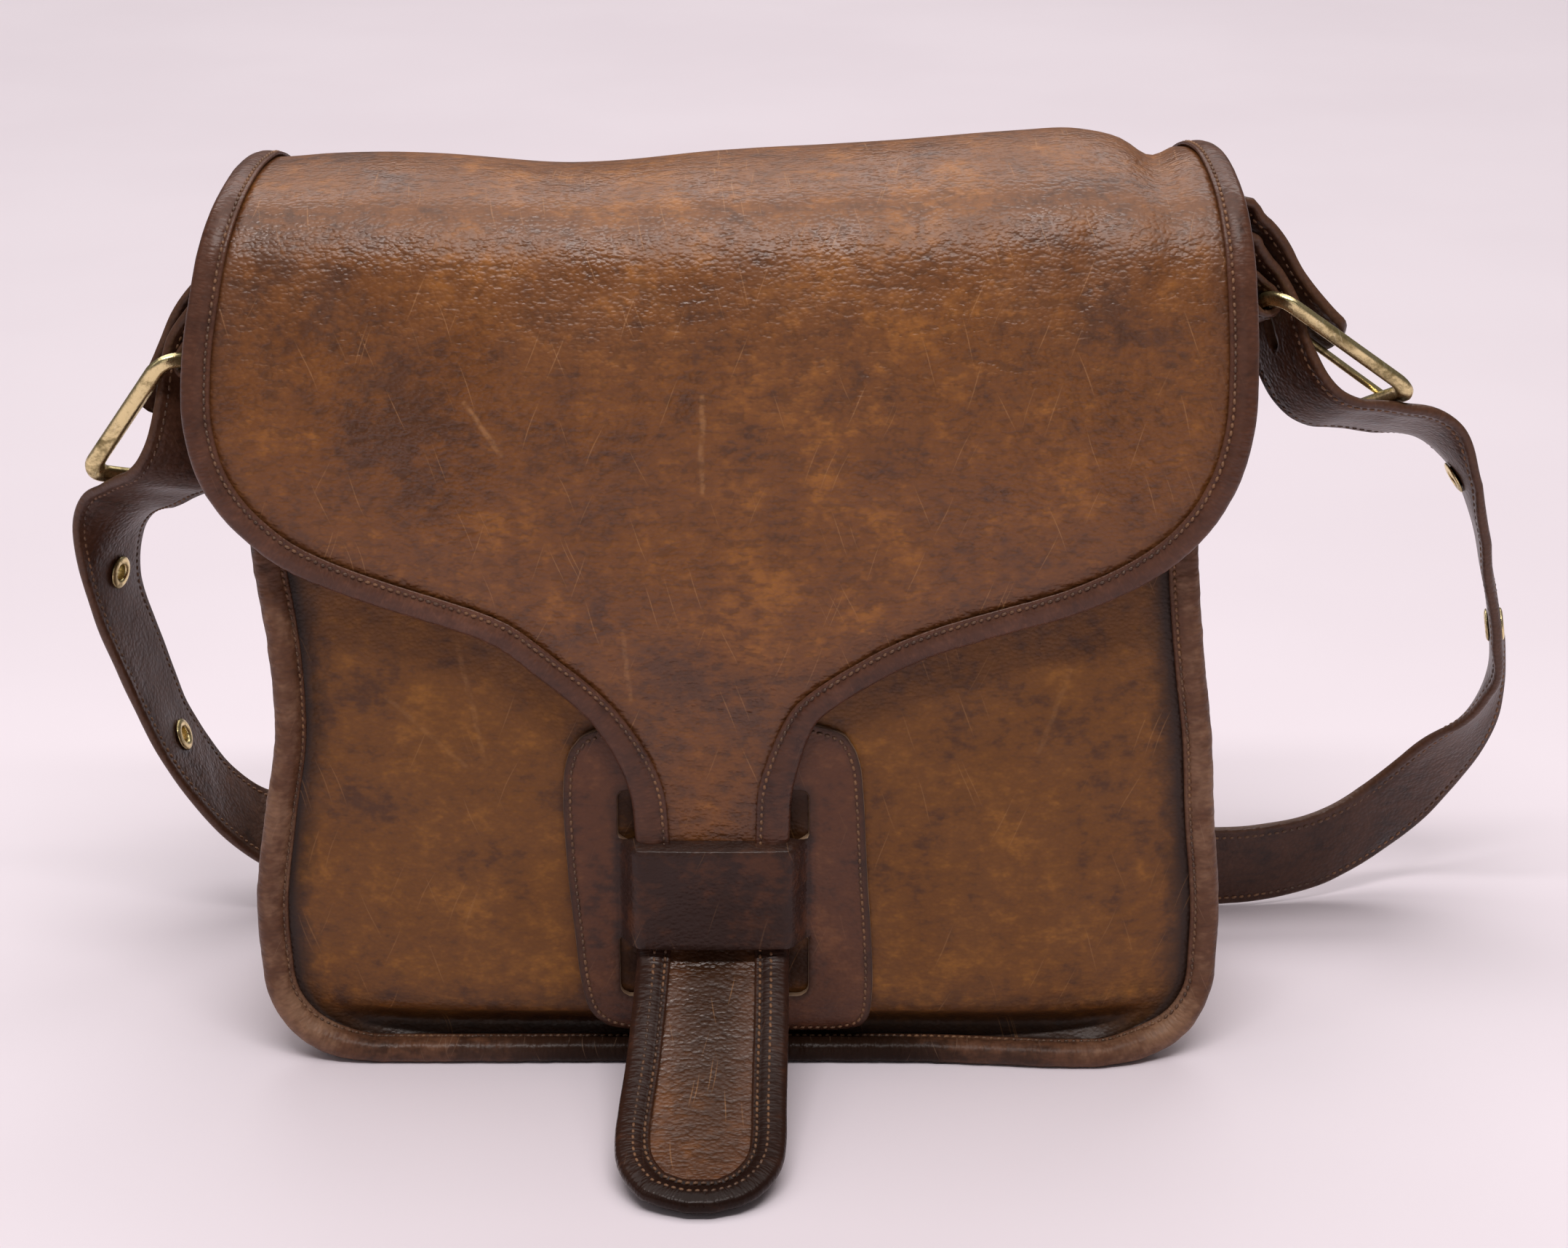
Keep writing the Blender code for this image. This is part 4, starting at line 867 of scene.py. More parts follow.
def front_seam():
    """The front seam, the way out along its flange, the flange's normal and its turn in degrees."""
    _, edge, turns = front_sheet()
    facing = np.tile([0.0, -1.0, 0.0], (len(edge), 1))
    outward, normals = edge_directions(edge, facing, turns, closed=False)
    return edge, outward, normals, turns


def flap_rows():
    """Sections of the back and flap as (y, z, left, right, lift), and how many belong to the back."""
    table = np.array(FLAP_SECTIONS, float)
    run = run_along(table[:, :2])
    places = np.linspace(0.0, run[-1], round(run[-1] / FLAP_STEP))
    flap = smooth_curve(run, table, places)
    levels = body_levels(BACK_SEAM_Z)[:-1]
    zero = np.zeros(len(levels))
    back = np.column_stack([smooth_table(BODY_DEPTH, 2, levels[:, 0]), levels[:, :3], zero])
    return np.vstack([back, flap]), len(back), np.concatenate([levels[:, 3], np.zeros(len(flap))])


def flap_sheet():
    """The net of the back, flap and tongue, with its rows' outward normals."""
    rows, back_rows, share = flap_rows()
    slope = unit(spread(np.gradient(rows[:, :2], axis=0), 1, False))
    slope[:3] = (0.0, 1.0)
    normals = np.column_stack([np.zeros(len(rows)), slope[:, 1], -slope[:, 0]])
    u = np.linspace(-1, 1, ACROSS_FINE + 1)[None, :]
    y, z, left, right, lift = (column[:, None] for column in rows.T)
    x = -left + (u + 1) / 2 * (left + right)
    curl = FLAP_CURL * smooth_step((left + right - 60) / 120) * u ** 4
    bulge = -BACK_BULGE * np.sin(np.pi * np.minimum(1.0, z / BODY_TOP)) * (1 - u ** 4)
    on_back = np.arange(len(rows))[:, None] < back_rows
    curl = np.where(on_back, bulge, curl)
    points = np.stack(np.broadcast_arrays(x, y, z), axis=-1) - normals[:, None] * curl[..., None]
    points[..., 2] += lift * smooth_table(CROWN_LIFT, 1, x)
    return points, normals, back_rows, share


def flap_seam():
    """The closed seam of back and flap: up the left side, round the tip, down the right, along the foot."""
    points, normals, back_rows, share = flap_sheet()
    edge = np.vstack([points[:, 0], points[-1, 1:-1], points[::-1, -1], points[0, -2:0:-1]])
    rows = np.arange(len(points))
    tip = np.full(ACROSS_FINE - 1, rows[-1])
    rows = np.concatenate([rows, tip, rows[::-1], 0 * tip])
    turns = 90 * share[rows]
    outward, side = edge_directions(edge, normals[rows], turns, closed=True)
    return edge, outward, side, rows, turns, back_rows, len(points)


def back_seam():
    """The part of the flap's seam that the gusset is sewn to, point for point with the front seam."""
    edge, outward, side, _, _, back_rows, count = flap_seam()
    left = np.arange(back_rows, -1, -1)
    right = 2 * count + ACROSS_FINE - 2 - np.arange(back_rows + 1)
    foot = np.arange(len(edge) - 1, len(edge) - ACROSS_FINE, -1)
    order = np.concatenate([left, foot, right])
    return edge[order], outward[order], side[order]


def gusset_seams():
    """The gusset's edges at both seams, the ways their flanges lie, and the way out of its wall."""
    front, front_out, front_normal, _ = front_seam()
    back, back_out, back_normal = back_seam()
    front = front - front_normal * (PANEL_LEATHER / 2 + SEAM_GAP + GUSSET_LEATHER / 2)
    back = back - back_normal * (FLAP_LEATHER / 2 + SEAM_GAP + GUSSET_LEATHER / 2)
    facing = np.tile([0.0, -1.0, 0.0], (len(front), 1))
    wall_out, _ = edge_directions(front, facing, np.zeros(len(front)), closed=False)
    return front, back, front_out, back_out, wall_out


def gusset_net():
    """The gusset's net, one row for each point of the seams: flange, wall across the depth, flange."""
    front, back, front_out, back_out, wall_out = gusset_seams()
    share = np.linspace(0.0, 1.0, GUSSET_ACROSS)
    wall = smooth_table(BODY_DEPTH, 3, front[:, 2])
    places = front[:, None] * (1 - share)[:, None] + back[:, None] * share[:, None]
    foot = 1 - smooth_step((front[:, 2] - GUSSET_FOOT) / GUSSET_FOOT_FADE)
    stand = wall[:, None] * ramp(GUSSET_STAND, share)
    stand += lumps_at(places, GUSSET_LUMPS) * ramp(GUSSET_LOOSE, share) * (1 - foot)[:, None]
    places = places + wall_out[:, None] * stand[..., None]
    weight = foot[:, None] * ramp(GUSSET_FLAT, share)
    places[..., 2] = places[..., 2] * (1 - weight) + GUSSET_LEATHER / 2 * weight
    front_flange = [(front + front_out * FLANGE * part)[:, None] for part in (1.0, 0.5)]
    back_flange = [(back + back_out * FLANGE * part)[:, None] for part in (0.5, 1.0)]
    return np.concatenate([*front_flange, places, *back_flange], axis=1)


def with_flange(points, outward_left, outward_right):
    """A net with its flange as one more column at each side."""
    left = points[:, :1] + outward_left[:, None] * FLANGE
    right = points[:, -1:] + outward_right[:, None] * FLANGE
    return np.concatenate([left, points, right], axis=1)


def end_flange(row, outward):
    """The flange beyond a net's first or last row, filled out at its two corners."""
    flange = row.copy()
    flange[2:-2] += outward * FLANGE
    flange[1] += unit(outward[0] + unit(row[0] - row[1])) * FLANGE
    flange[-2] += unit(outward[-1] + unit(row[-1] - row[-2])) * FLANGE
    return flange


def fold_field(points, folds):
    """Height of drawn folds: a table of (x, z, end x, end z, width, height) in millimetres."""
    total = np.zeros(points.shape[:-1])
    flat = points[..., [0, 2]]
    for x, z, end_x, end_z, width, height in folds:
        start = np.array([x, z], float)
        span = np.array([end_x - x, end_z - z], float)
        t = np.clip(((flat - start) @ span) / (span @ span), 0, 1)
        away = np.linalg.norm(flat - start - t[..., None] * span, axis=-1)
        fullness = 0.35 + 0.65 * np.sin(np.pi * np.clip(t, 0.08, 0.92))
        total += height * np.exp(-(away / width) ** 2) * fullness
    return total


def make_front_panel(materials):
    """The front with its belly, its groove above the foot and its turned-out flange."""
    points, _, _ = front_sheet()
    across = column_edge(points)
    above_seam = points[..., 2] - SEAM_Z
    lumps = lumps_at(points, PANEL_LUMPS) + fold_field(points, PANEL_FOLDS)
    lumps = lumps * smooth_step(edge_distance(points) / PANEL_FADE)
    groove = np.sin(np.pi * np.clip(above_seam / FOOT_GROOVE_HEIGHT, 0, 1))
    groove = groove * smooth_step(across / FOOT_GROOVE_FADE)
    points = points + np.array([0.0, -1.0, 0.0]) * (lumps - FOOT_GROOVE * groove)[..., None]
    _, outward, _, _ = front_seam()
    count = len(points)
    points = with_flange(points, outward[count - 1::-1], outward[-count:])
    foot_flange = points[0].copy()
    foot_flange[1:-1] += np.vstack([outward[count - 1], outward[count:-count], outward[-count]]) * FLANGE
    points = np.concatenate([foot_flange[None], points])
    # the body's dark edge colour, painted shade, reaches further in from the foot than from the sides
    edge = np.pad(np.minimum(1.6 * across, 0.6 * above_seam), ((1, 0), (1, 1)))
    tone = tone_of(points, PANEL_TONES_AND_PAINTED_SHADE)
    panel = add_net("front_panel_leather", points, materials, tone, edge, PANEL_LEATHER)
    belongs(panel, "front_panel")


def make_gusset(materials):
    """The one strip that makes both side walls and the bottom, with its flanges."""
    points = gusset_net()
    distance = column_edge(points) - FLANGE
    gusset = add_net("gusset_leather", points, materials, None, distance, GUSSET_LEATHER)
    belongs(gusset, "gusset")


def make_flap(materials):
    """The back, the flap and its tongue in one piece, with its flange all round."""
    points, normals, back_rows, _ = flap_sheet()
    distance = edge_distance(points)
    on_flap = np.arange(len(points))[:, None] > back_rows
    lumps = lumps_at(points, FLAP_LUMPS)
    lumps += tone_of(points, CREASED_PLACES) * on_flap * lumps_at(points, FLAP_CREASES)
    lumps += (fold_field(points, FLAP_FOLDS) + tone_of(points, FLAP_SWELLS)) * (points[..., 1] < SWELLS_END)
    points = points + normals[:, None] * (lumps * smooth_step(distance / FLAP_FADE))[..., None]
    tone = tone_of(points, FLAP_TONES_AND_PAINTED_LIGHT) * (points[..., 1] < TONES_END)
    _, outward, _, _, _, _, count = flap_seam()
    right = 2 * count + ACROSS_FINE - 2
    points = with_flange(points, outward[:count], outward[right:right - count:-1])
    foot = end_flange(points[0], outward[:-ACROSS_FINE:-1])
    tip = end_flange(points[-1], outward[count:count + ACROSS_FINE - 1])
    points = np.concatenate([foot[None], points, tip[None]])
    flap = add_net("flap_leather", points, materials, np.pad(tone, 1), np.pad(distance, 1), FLAP_LEATHER)
    belongs(flap, "back_flap")


def even_steps(lines, step, closed):
    """An edge, and what goes with it, at even steps along the edge."""
    if closed:
        lines = [np.concatenate([values, values[:1]]) for values in lines]
    run = run_along(lines[0])
    at = np.linspace(0, run[-1], round(run[-1] / step) + 1)
    if closed:
        at = at[:-1]
    return at, [read_along(run, values, at) for values in lines]


def twist_room(turns, at):
    """Extra clearance under the binding where the seam twists from upright to flat."""
    change = np.abs(np.gradient(turns, at))
    room = TWIST_ROOM * np.minimum(1.0, change * TWIST_SPAN / 12.0) * (turns < 89.0)
    return spread(room[:, None], 3, False)[:, 0]


def binding_net(name, node_name, seam, closed, materials):
    """The folded binding: from its stitched edge on one side, round the nose, to the other side.

    The seam holds the edge, the way out and the normal at each point, the height of the binding on its
    outer and inner face, and the turn of the flange. What comes back is what the stitches follow.
    """
    at, (edge, outward, normals, outer, inner, turns) = even_steps(seam, BINDING_STEP, closed)
    outward, normals = unit(outward), unit(normals)
    start = BINDING_START + (BINDING_START_AT_FOOT - BINDING_START) * turns / 90.0
    if closed:
        start = start - TONGUE_BINDING * tongue_share(edge)
    nose = BINDING_REACH - BINDING_NOSE
    middle, half = (outer - inner) / 2, (outer + inner) / 2 + twist_room(turns, at)
    reaches = [(start + share * (nose - start), puff, 1.0 if share > BINDING_HELD else HELD_CRINKLE)
               for share, puff in BINDING_PROFILE]
    columns = [(reach, middle + half + puff, lift) for reach, puff, lift in reaches]
    for angle in np.radians(np.arange(75, -90, -15)):
        reach = np.full(len(at), nose + BINDING_NOSE * math.cos(angle))
        columns.append((reach, middle + half * math.sin(angle), 1.0))
    columns += [(reach, middle - half - puff, lift) for reach, puff, lift in reversed(reaches)]
    points = np.stack([edge + outward * reach[:, None] + normals * height[:, None]
                       for reach, height, _ in columns], axis=1)
    centre = edge + outward * (nose - 1.0) + normals * middle[:, None]
    away = unit(points - centre[:, None])
    across = runs(points, 1)
    flat = np.zeros(points.shape)
    flat[..., 0] = at[:, None]
    flat[..., 1] = across[None]
    lifts = np.array([lift for _, _, lift in columns])
    crinkled = flap_crinkle(edge) if closed else np.full(len(edge), FRONT_BINDING_CRINKLE)
    crinkle = lumps_at(flat, BINDING_CRINKLES) * (lifts * crinkled[:, None])
    points = points + away * crinkle[..., None]
    points[..., 2] = np.maximum(points[..., 2], BINDING_LEATHER / 2)
    tones = FLAP_BINDING_TONES if closed else FRONT_BINDING_TONES_AND_PAINTED_SHADE
    tone = np.maximum(-0.95, tone_of(points, tones) * (points[..., 1] < -20))
    from_edge = np.minimum(across, across[-1] - across)[None].repeat(len(at), 0)
    piece = add_net(name, points, materials, tone, from_edge, BINDING_LEATHER, round_rows=closed)
    belongs(piece, node_name)
    return edge, outward, normals, start, middle, half


def make_front_binding(materials, thread):
    """The worn binding over the seam of the front and the gusset."""
    edge, outward, normals, turns = front_seam()
    outer = np.full(len(edge), PANEL_LEATHER / 2 + GAP + BINDING_LEATHER / 2)
    inner = outer + SEAM_GAP + GUSSET_LEATHER
    seam = [edge, outward, normals, outer, inner, turns]
    made = binding_net("front_binding_leather", "front_binding", seam, False, materials)
    sew_binding("stitches_front_binding", made, thread, False)


def tongue_share(places):
    """1 on the tongue's free end, 0 on the flap, for points of the seam."""
    return smooth_step((118 - places[:, 2]) / 30) * smooth_step((-30 - places[:, 1]) / 10)


def flap_crinkle(places):
    """How crinkled the flap's binding is: most along the flap's lower edge, least on the tongue."""
    return 0.05 + (0.12 + 0.6 * hill(places, (0, 165), (190, 62))) * (1 - tongue_share(places))


def make_flap_binding(materials, thread):
    """The binding round the back, the flap and the tongue, with the tongue's second row of stitches."""
    edge, outward, normals, rows, turns, back_rows, _ = flap_seam()
    single = FLAP_LEATHER / 2 + GAP + BINDING_LEATHER / 2
    share = smooth_step((rows - back_rows - BINDING_FREE_FROM) / BINDING_FREE_OVER)
    inner = single + (GUSSET_LEATHER + SEAM_GAP) * (1 - share)
    seam = [edge, outward, normals, np.full(len(edge), single), inner, turns]
    made = binding_net("flap_binding_leather", "back_flap_binding", seam, True, materials)
    sew_binding("stitches_flap_binding", made, thread, True)
    edge, outward, normals, start, middle, half = made
    # the second row shows on the free tongue and in the lower slot
    on_tongue = (edge[:, 1] < -56) | ((edge[:, 1] < -45) & (edge[:, 2] < 60))
    height = middle + half + BINDING_LEATHER / 2 + 0.3
    places = edge + outward * (start + STITCH_IN + TONGUE_ROWS_APART)[:, None] + normals * height[:, None]
    make_stitches("stitches_tongue", places[on_tongue], normals[on_tongue], outward[on_tongue], thread)


def sew_binding(name, made, thread, closed):
    """One row of stitches in the groove on each side of a binding, none of it below the floor."""
    edge, outward, normals, start, middle, half = made
    for label, face in (("", 1), ("_inside", -1)):
        height = middle + face * (half + BINDING_LEATHER / 2 + STITCH_HEIGHT)
        line = edge + outward * (start + STITCH_IN)[:, None] + normals * height[:, None]
        line[:, 2] = np.maximum(line[:, 2], STITCH_RADIUS * 1.1)
        make_stitches(name + label, line, face * normals, outward, thread, closed)


def make_stitches(name, line, normals, sideways, thread, closed=False, pitch=STITCH_PITCH):
    """Short slanted capsules of thread along a line; sideways, the direction across the line, is not used.
    """
    if closed:
        line, normals, sideways = (np.vstack([row, row[:1]]) for row in (line, normals, sideways))
    run = run_along(line)
    count = int(run[-1] / pitch)
    middles = (np.arange(count) + 0.5) * run[-1] / count
    random = np.random.default_rng(len(name) * 31 + count)
    length = pitch * STITCH_SHARE * (1 + STITCH_SPREAD * random.standard_normal(count))
    centre = read_along(run, line, middles)
    along = unit(read_along(run, line, middles + 0.3) - read_along(run, line, middles - 0.3))
    up = unit(read_along(run, normals, middles))
    side = unit(np.cross(up, along))
    slant = np.radians(STITCH_SLANT[0] + STITCH_SLANT[1] * random.standard_normal(count))[:, None]
    along, side = along * np.cos(slant) + side * np.sin(slant), side * np.cos(slant) - along * np.sin(slant)
    rings = []
    for part, thick, sink in STITCH_RINGS:
        for k in range(STITCH_SIDES):
            turn = math.pi * 2 * k / STITCH_SIDES
            aside = side * (STITCH_RADIUS * thick * math.cos(turn))
            rings.append(centre + along * (length * part)[:, None] + aside
                         + up * (STITCH_RADIUS * thick * math.sin(turn) - sink))
    one, _, _ = net(len(STITCH_RINGS), STITCH_SIDES, round_columns=True)
    first = np.arange(count) * len(rings)
    faces = (first[:, None, None] + one[None, :, ::-1]).reshape(-1, 4).tolist()
    for start in first:
        faces.append([start + j for j in range(STITCH_SIDES)])
        faces.append([start + len(rings) - 1 - j for j in range(STITCH_SIDES)])
    stitches = add_mesh(name, np.stack(rings, axis=1), faces, None, None, [thread])
    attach(stitches, "root")


def patch_shape():
    """The patch's outline and its two slots as loops of (x, z)."""
    z = np.linspace(PATCH_OUTLINE[0][0], PATCH_OUTLINE[-1][0], PATCH_LEVELS)
    left = -smooth_table(PATCH_OUTLINE, 1, z)
    right = smooth_table(PATCH_OUTLINE, 2, z)
    outline = np.vstack([np.column_stack([right, z]), np.column_stack([left, z])[::-1]])
    slots = [slot_loop(LOWER_SLOT, 3.0, 1.0), slot_loop(UPPER_SLOT, 1.0, 2.0)]
    return [even_loop(outline, PATCH_FINE), *slots]


def even_loop(loop, step):
    """A closed loop with its points at even steps."""
    _, (even,) = even_steps([loop], step, True)
    return even


def slot_loop(span, low_radius, high_radius):
    """One slot between two heights, with its corners' radii; the upper one follows the bridge's edge."""
    corners = [(SLOT_LEFT, span[0], low_radius, 180), (SLOT_RIGHT, span[0], low_radius, 270),
               (SLOT_RIGHT, span[1], high_radius, 0), (SLOT_LEFT, span[1], high_radius, 90)]
    loop = []
    for x, z, radius, first in corners:
        centre_x = x + radius * (1 if x == SLOT_LEFT else -1)
        centre_z = z + radius * (1 if z == span[0] else -1)
        for degrees in range(first, first + 91, 15):
            angle = math.radians(degrees)
            loop.append((centre_x + radius * math.cos(angle), centre_z + radius * math.sin(angle)))
    loop = even_loop(np.array(loop), PATCH_FINE)
    if span == UPPER_SLOT:
        loop[:, 1] -= BRIDGE_SAG * bridge_arch(loop[:, 0]) * (loop[:, 1] < sum(span) / 2)
    return loop


def inside(places, loop):
    """Whether each (x, z) lies inside a loop."""
    x, z = places[:, 0][:, None], places[:, 1][:, None]
    ahead = np.roll(loop, -1, axis=0)
    crosses = (loop[:, 1] > z) != (ahead[:, 1] > z)
    rise = np.where(ahead[:, 1] == loop[:, 1], 1e-9, ahead[:, 1] - loop[:, 1])
    at = (ahead[:, 0] - loop[:, 0]) * (z - loop[:, 1]) / rise + loop[:, 0]
    return (crosses & (x < at)).sum(axis=1) % 2 == 1


def in_patch(places, loops):
    """Whether each (x, z) lies on the patch's leather, so in its outline and in neither slot."""
    outline, *slots = (inside(places, loop) for loop in loops)
    return outline & ~slots[0] & ~slots[1]


def distance_to(places, loops):
    """Distance of each (x, z) from the nearest point of the loops."""
    every = np.vstack(loops)
    return np.sqrt(((places[:, None] - every[None]) ** 2).sum(axis=2).min(axis=1))


def bridge_arch(x):
    """1 at the middle of the bridge, 0 at its ends."""
    return np.sin(np.pi * np.clip((x - SLOT_LEFT) / (SLOT_RIGHT - SLOT_LEFT), 0.0, 1.0))


def on_patch(flat, above=0.0):
    """Points on the patch above flat places (x, z), and the direction away from the belly."""
    x, z = flat[:, 0], flat[:, 1]
    on_bridge = smooth_step((z - LOWER_SLOT[1] + 0.2) / 0.2) * smooth_step((UPPER_SLOT[0] + 0.2 - z) / 0.2)
    from_left, from_right = (smooth_step(away / BRIDGE_ROUND) for away in (x - SLOT_LEFT, SLOT_RIGHT - x))
    rise = BRIDGE_RISE * np.minimum(from_left, from_right)
    rise = (rise + BRIDGE_CROWN * bridge_arch(x)) * on_bridge
    u = x / PATCH_HALF_BODY
    slope = (belly_y(u, x, z + 1) - belly_y(u, x, z - 1)) / 2
    lean = np.sqrt(1 + slope ** 2)
    stand = PANEL_LEATHER / 2 + PATCH_GAP + PATCH_LEATHER / 2 + above
    places = np.column_stack([x, belly_y(u, x, z) - stand / lean - rise, z + stand * slope / lean])
    return places, np.column_stack([np.zeros(len(x)), -1 / lean, slope / lean])


def patch_net(loops):
    """The patch's flat leather as (x, z) places and triangles between its loops."""
    xs = np.arange(-50.0, 40.0, PATCH_FINE)
    zs = np.arange(11.0, 105.5, PATCH_FINE)
    grid = np.array([(x + PATCH_FINE / 2 * (k % 2), z) for k, z in enumerate(zs) for x in xs])
    grid = grid[in_patch(grid, loops)]
    grid = grid[distance_to(grid, loops) > PATCH_FINE * 0.6]
    edges = []
    first = 0
    for loop in loops:
        edges += [(first + k, first + (k + 1) % len(loop)) for k in range(len(loop))]
        first += len(loop)
    places = [Vector(place) for place in np.vstack([*loops, grid])]
    found = geometry.delaunay_2d_cdt(places, edges, [], 0, 1e-5)
    flat = np.array([list(place) for place in found[0]])
    faces = np.array([list(face) for face in found[2]])
    return flat, faces[in_patch(flat[faces].mean(axis=1), loops)]


def make_patch(materials, thread):
    """The keeper patch with its two slots and the bridge between them, sewn round its edge."""
    loops = patch_shape()
    flat, faces = patch_net(loops)
    points, away = on_patch(flat)
    distance = distance_to(flat, loops)
    points = points + away * (lumps_at(points, PATCH_LUMPS) * smooth_step(distance / PATCH_FADE))[:, None]
    x, z = flat[:, 0], flat[:, 1]
    on_bridge = 1.0 * (z > LOWER_SLOT[1] - 1) * (z < UPPER_SLOT[0] + 1)
    for over in (x - SLOT_LEFT, SLOT_RIGHT - x):
        on_bridge = on_bridge * smooth_step(over / BRIDGE_TONE_FADE + 1)
    corner = faces.ravel()
    edge_and_tone_with_painted_light = np.stack([distance[corner] * MM, 0.5 + 0.5 * BRIDGE_TONE * on_bridge[corner]], axis=-1)
    patch = add_mesh("keeper_patch_leather", points, faces, flat[corner] * MM, edge_and_tone_with_painted_light, materials)
    thicken(patch, PATCH_LEATHER, False)
    bevel = patch.modifiers.new("rounded_edges", "BEVEL")
    bevel.width = PATCH_EDGE_ROUND * MM
    bevel.segments = 2
    bevel.limit_method = "ANGLE"
    bevel.angle_limit = math.radians(60)
    belongs(patch, "keeper_patch")
    outline = loops[0]
    inward = unit(np.roll(outline, -1, axis=0) - np.roll(outline, 1, axis=0))[:, ::-1] * (-1, 1)
    row = even_loop(outline + inward * PATCH_STITCH_IN, 1.0)
    line, away = on_patch(row, PATCH_LEATHER / 2 + STITCH_HEIGHT + 0.1)
    sideways = np.roll(line, -1, axis=0) - line
    make_stitches("stitches_patch", line, away, sideways, thread, True)


def close_up(piece, fill):
    """Fills a mesh's open ends if asked, and turns its faces outward."""
    build = bmesh.new()
    build.from_mesh(piece.data)
    if fill:
        bmesh.ops.holes_fill(build, edges=[edge for edge in build.edges if edge.is_boundary], sides=0)
    bmesh.ops.recalc_face_normals(build, faces=build.faces)
    build.to_mesh(piece.data)
    build.free()
    piece.data.shade_smooth()
    return piece


def sweep(name, centres, along, across, section, materials, lumps, widths):
    """A strip of leather of the given section (sideways, upward), swept along a line and capped."""
    up = unit(np.cross(along, across))
    side = section[None, :, 0] * widths[:, None]
    points = centres[:, None] + across[:, None] * side[..., None] + up[:, None] * section[None, :, 1, None]
    raised = lumps_at(points, lumps) * np.sign(section[:, 1])
    points = points + up[:, None] * raised[..., None]
    reach = np.abs(section[::-1, 0])
    edge = np.broadcast_to(reach.max() - reach, points.shape[:2])
    return close_up(add_net(name, points[:, ::-1], materials, None, edge, round_columns=True), True)


def strip_section(width, thickness, groove_in, groove, crown, fine):
    """Half-round edges, and a groove near each edge on both faces, as points of (sideways, upward)."""
    half = width / 2 - thickness / 2
    flat = np.linspace(half, -half, fine)
    inset = half + thickness / 2 - np.abs(flat)
    sunk = groove * np.exp(-((inset - groove_in) / GROOVE_WIDTH) ** 2)
    height = thickness / 2 + crown * (1 - (flat / half) ** 2) - sunk
    top = np.column_stack([flat, height])
    angles = np.radians(np.arange(105, 270, 30))
    left = np.column_stack([-half + thickness / 2 * np.cos(angles), thickness / 2 * np.sin(angles)])
    return np.vstack([top, left, top * (-1, -1), left * (-1, -1)])


def cut(piece, cutters):
    """Cuts holes with a Boolean, keeps the result and removes the cutters."""
    for cutter in cutters:
        modifier = piece.modifiers.new(cutter.name, "BOOLEAN")
        modifier.operation = "DIFFERENCE"
        modifier.solver = "EXACT"
        modifier.object = cutter
    graph = bpy.context.evaluated_depsgraph_get()
    graph.update()
    mesh = bpy.data.meshes.new_from_object(piece.evaluated_get(graph))
    piece.modifiers.clear()
    piece.data = mesh
    for cutter in cutters:
        bpy.data.objects.remove(cutter, do_unlink=True)


def add_cutter(name, middle, along, across, axis, half_long, half_wide, reach):
    """A stadium-shaped prism: half_long by half_wide, reaching to both sides along its axis."""
    ring = []
    for k in range(CUTTER_SIDES):
        angle = 2 * math.pi * (k + 0.5) / CUTTER_SIDES
        slide = (half_long - half_wide) * (1 if math.cos(angle) > 0 else -1)
        ring.append((slide + half_wide * math.cos(angle), half_wide * math.sin(angle)))
    points = []
    for height in (-reach, reach):
        points += [middle + along * a + across * b + axis * height for a, b in ring]
    low = list(range(CUTTER_SIDES))
    faces = [[k, ahead, CUTTER_SIDES + ahead, CUTTER_SIDES + k] for k, ahead in zip(low, low[1:] + low[:1])]
    faces += [low[::-1], [CUTTER_SIDES + k for k in low]]
    cutter = close_up(add_mesh(name, np.array(points), faces, None, None, []), False)
    cutter.hide_render = True
    return cutter


def eyelet_places():
    """Each eyelet's side and number, its middle, and the ways along, across and through the strap."""
    run, _, _ = strap_line()
    stations = strap_stations()
    middles = (stations[:-1] + stations[1:]) / 2
    found = []
    for side, number, distance in EYELETS:
        at = distance if side == "left" else run[-1] - distance
        nearest = int(np.argmin(np.abs(middles - at)))
        places, _, across = strap_at(stations[nearest:nearest + 2])
        along = unit(places[1] - places[0])
        side_on = unit(across[0] + across[1])
        side_on = unit(side_on - along * np.dot(side_on, along))
        found.append((side, number, (places[0] + places[1]) / 2, along, side_on, np.cross(along, side_on)))
    return found


def strap_stations():
    """Where the strap's sections lie in the CAD model, so that the eyelets lie where they do there."""
    run, _, _ = strap_line()
    buckle_end = run[len(STRAP_AT_BUCKLE)]
    near = np.arange(0.0, buckle_end, STRAP_STEP_AT_BUCKLE)
    far = np.linspace(buckle_end, run[-1] - buckle_end, round((run[-1] - 2 * buckle_end) / STRAP_STEP))
    return np.concatenate([near, far, run[-1] - near[::-1]])


def sew_strip(rows, centres, across, up, aside, height, shown, thread):
    """Rows of stitches along a strip, each as (name, face, edge); aside and height lead to the grooves."""
    for name, face, edge in rows:
        line = centres + across * (edge * aside)[:, None] + up * (face * height)
        make_stitches(name, line[shown], face * up[shown], across[shown], thread, False, STRAP_STITCH_PITCH)


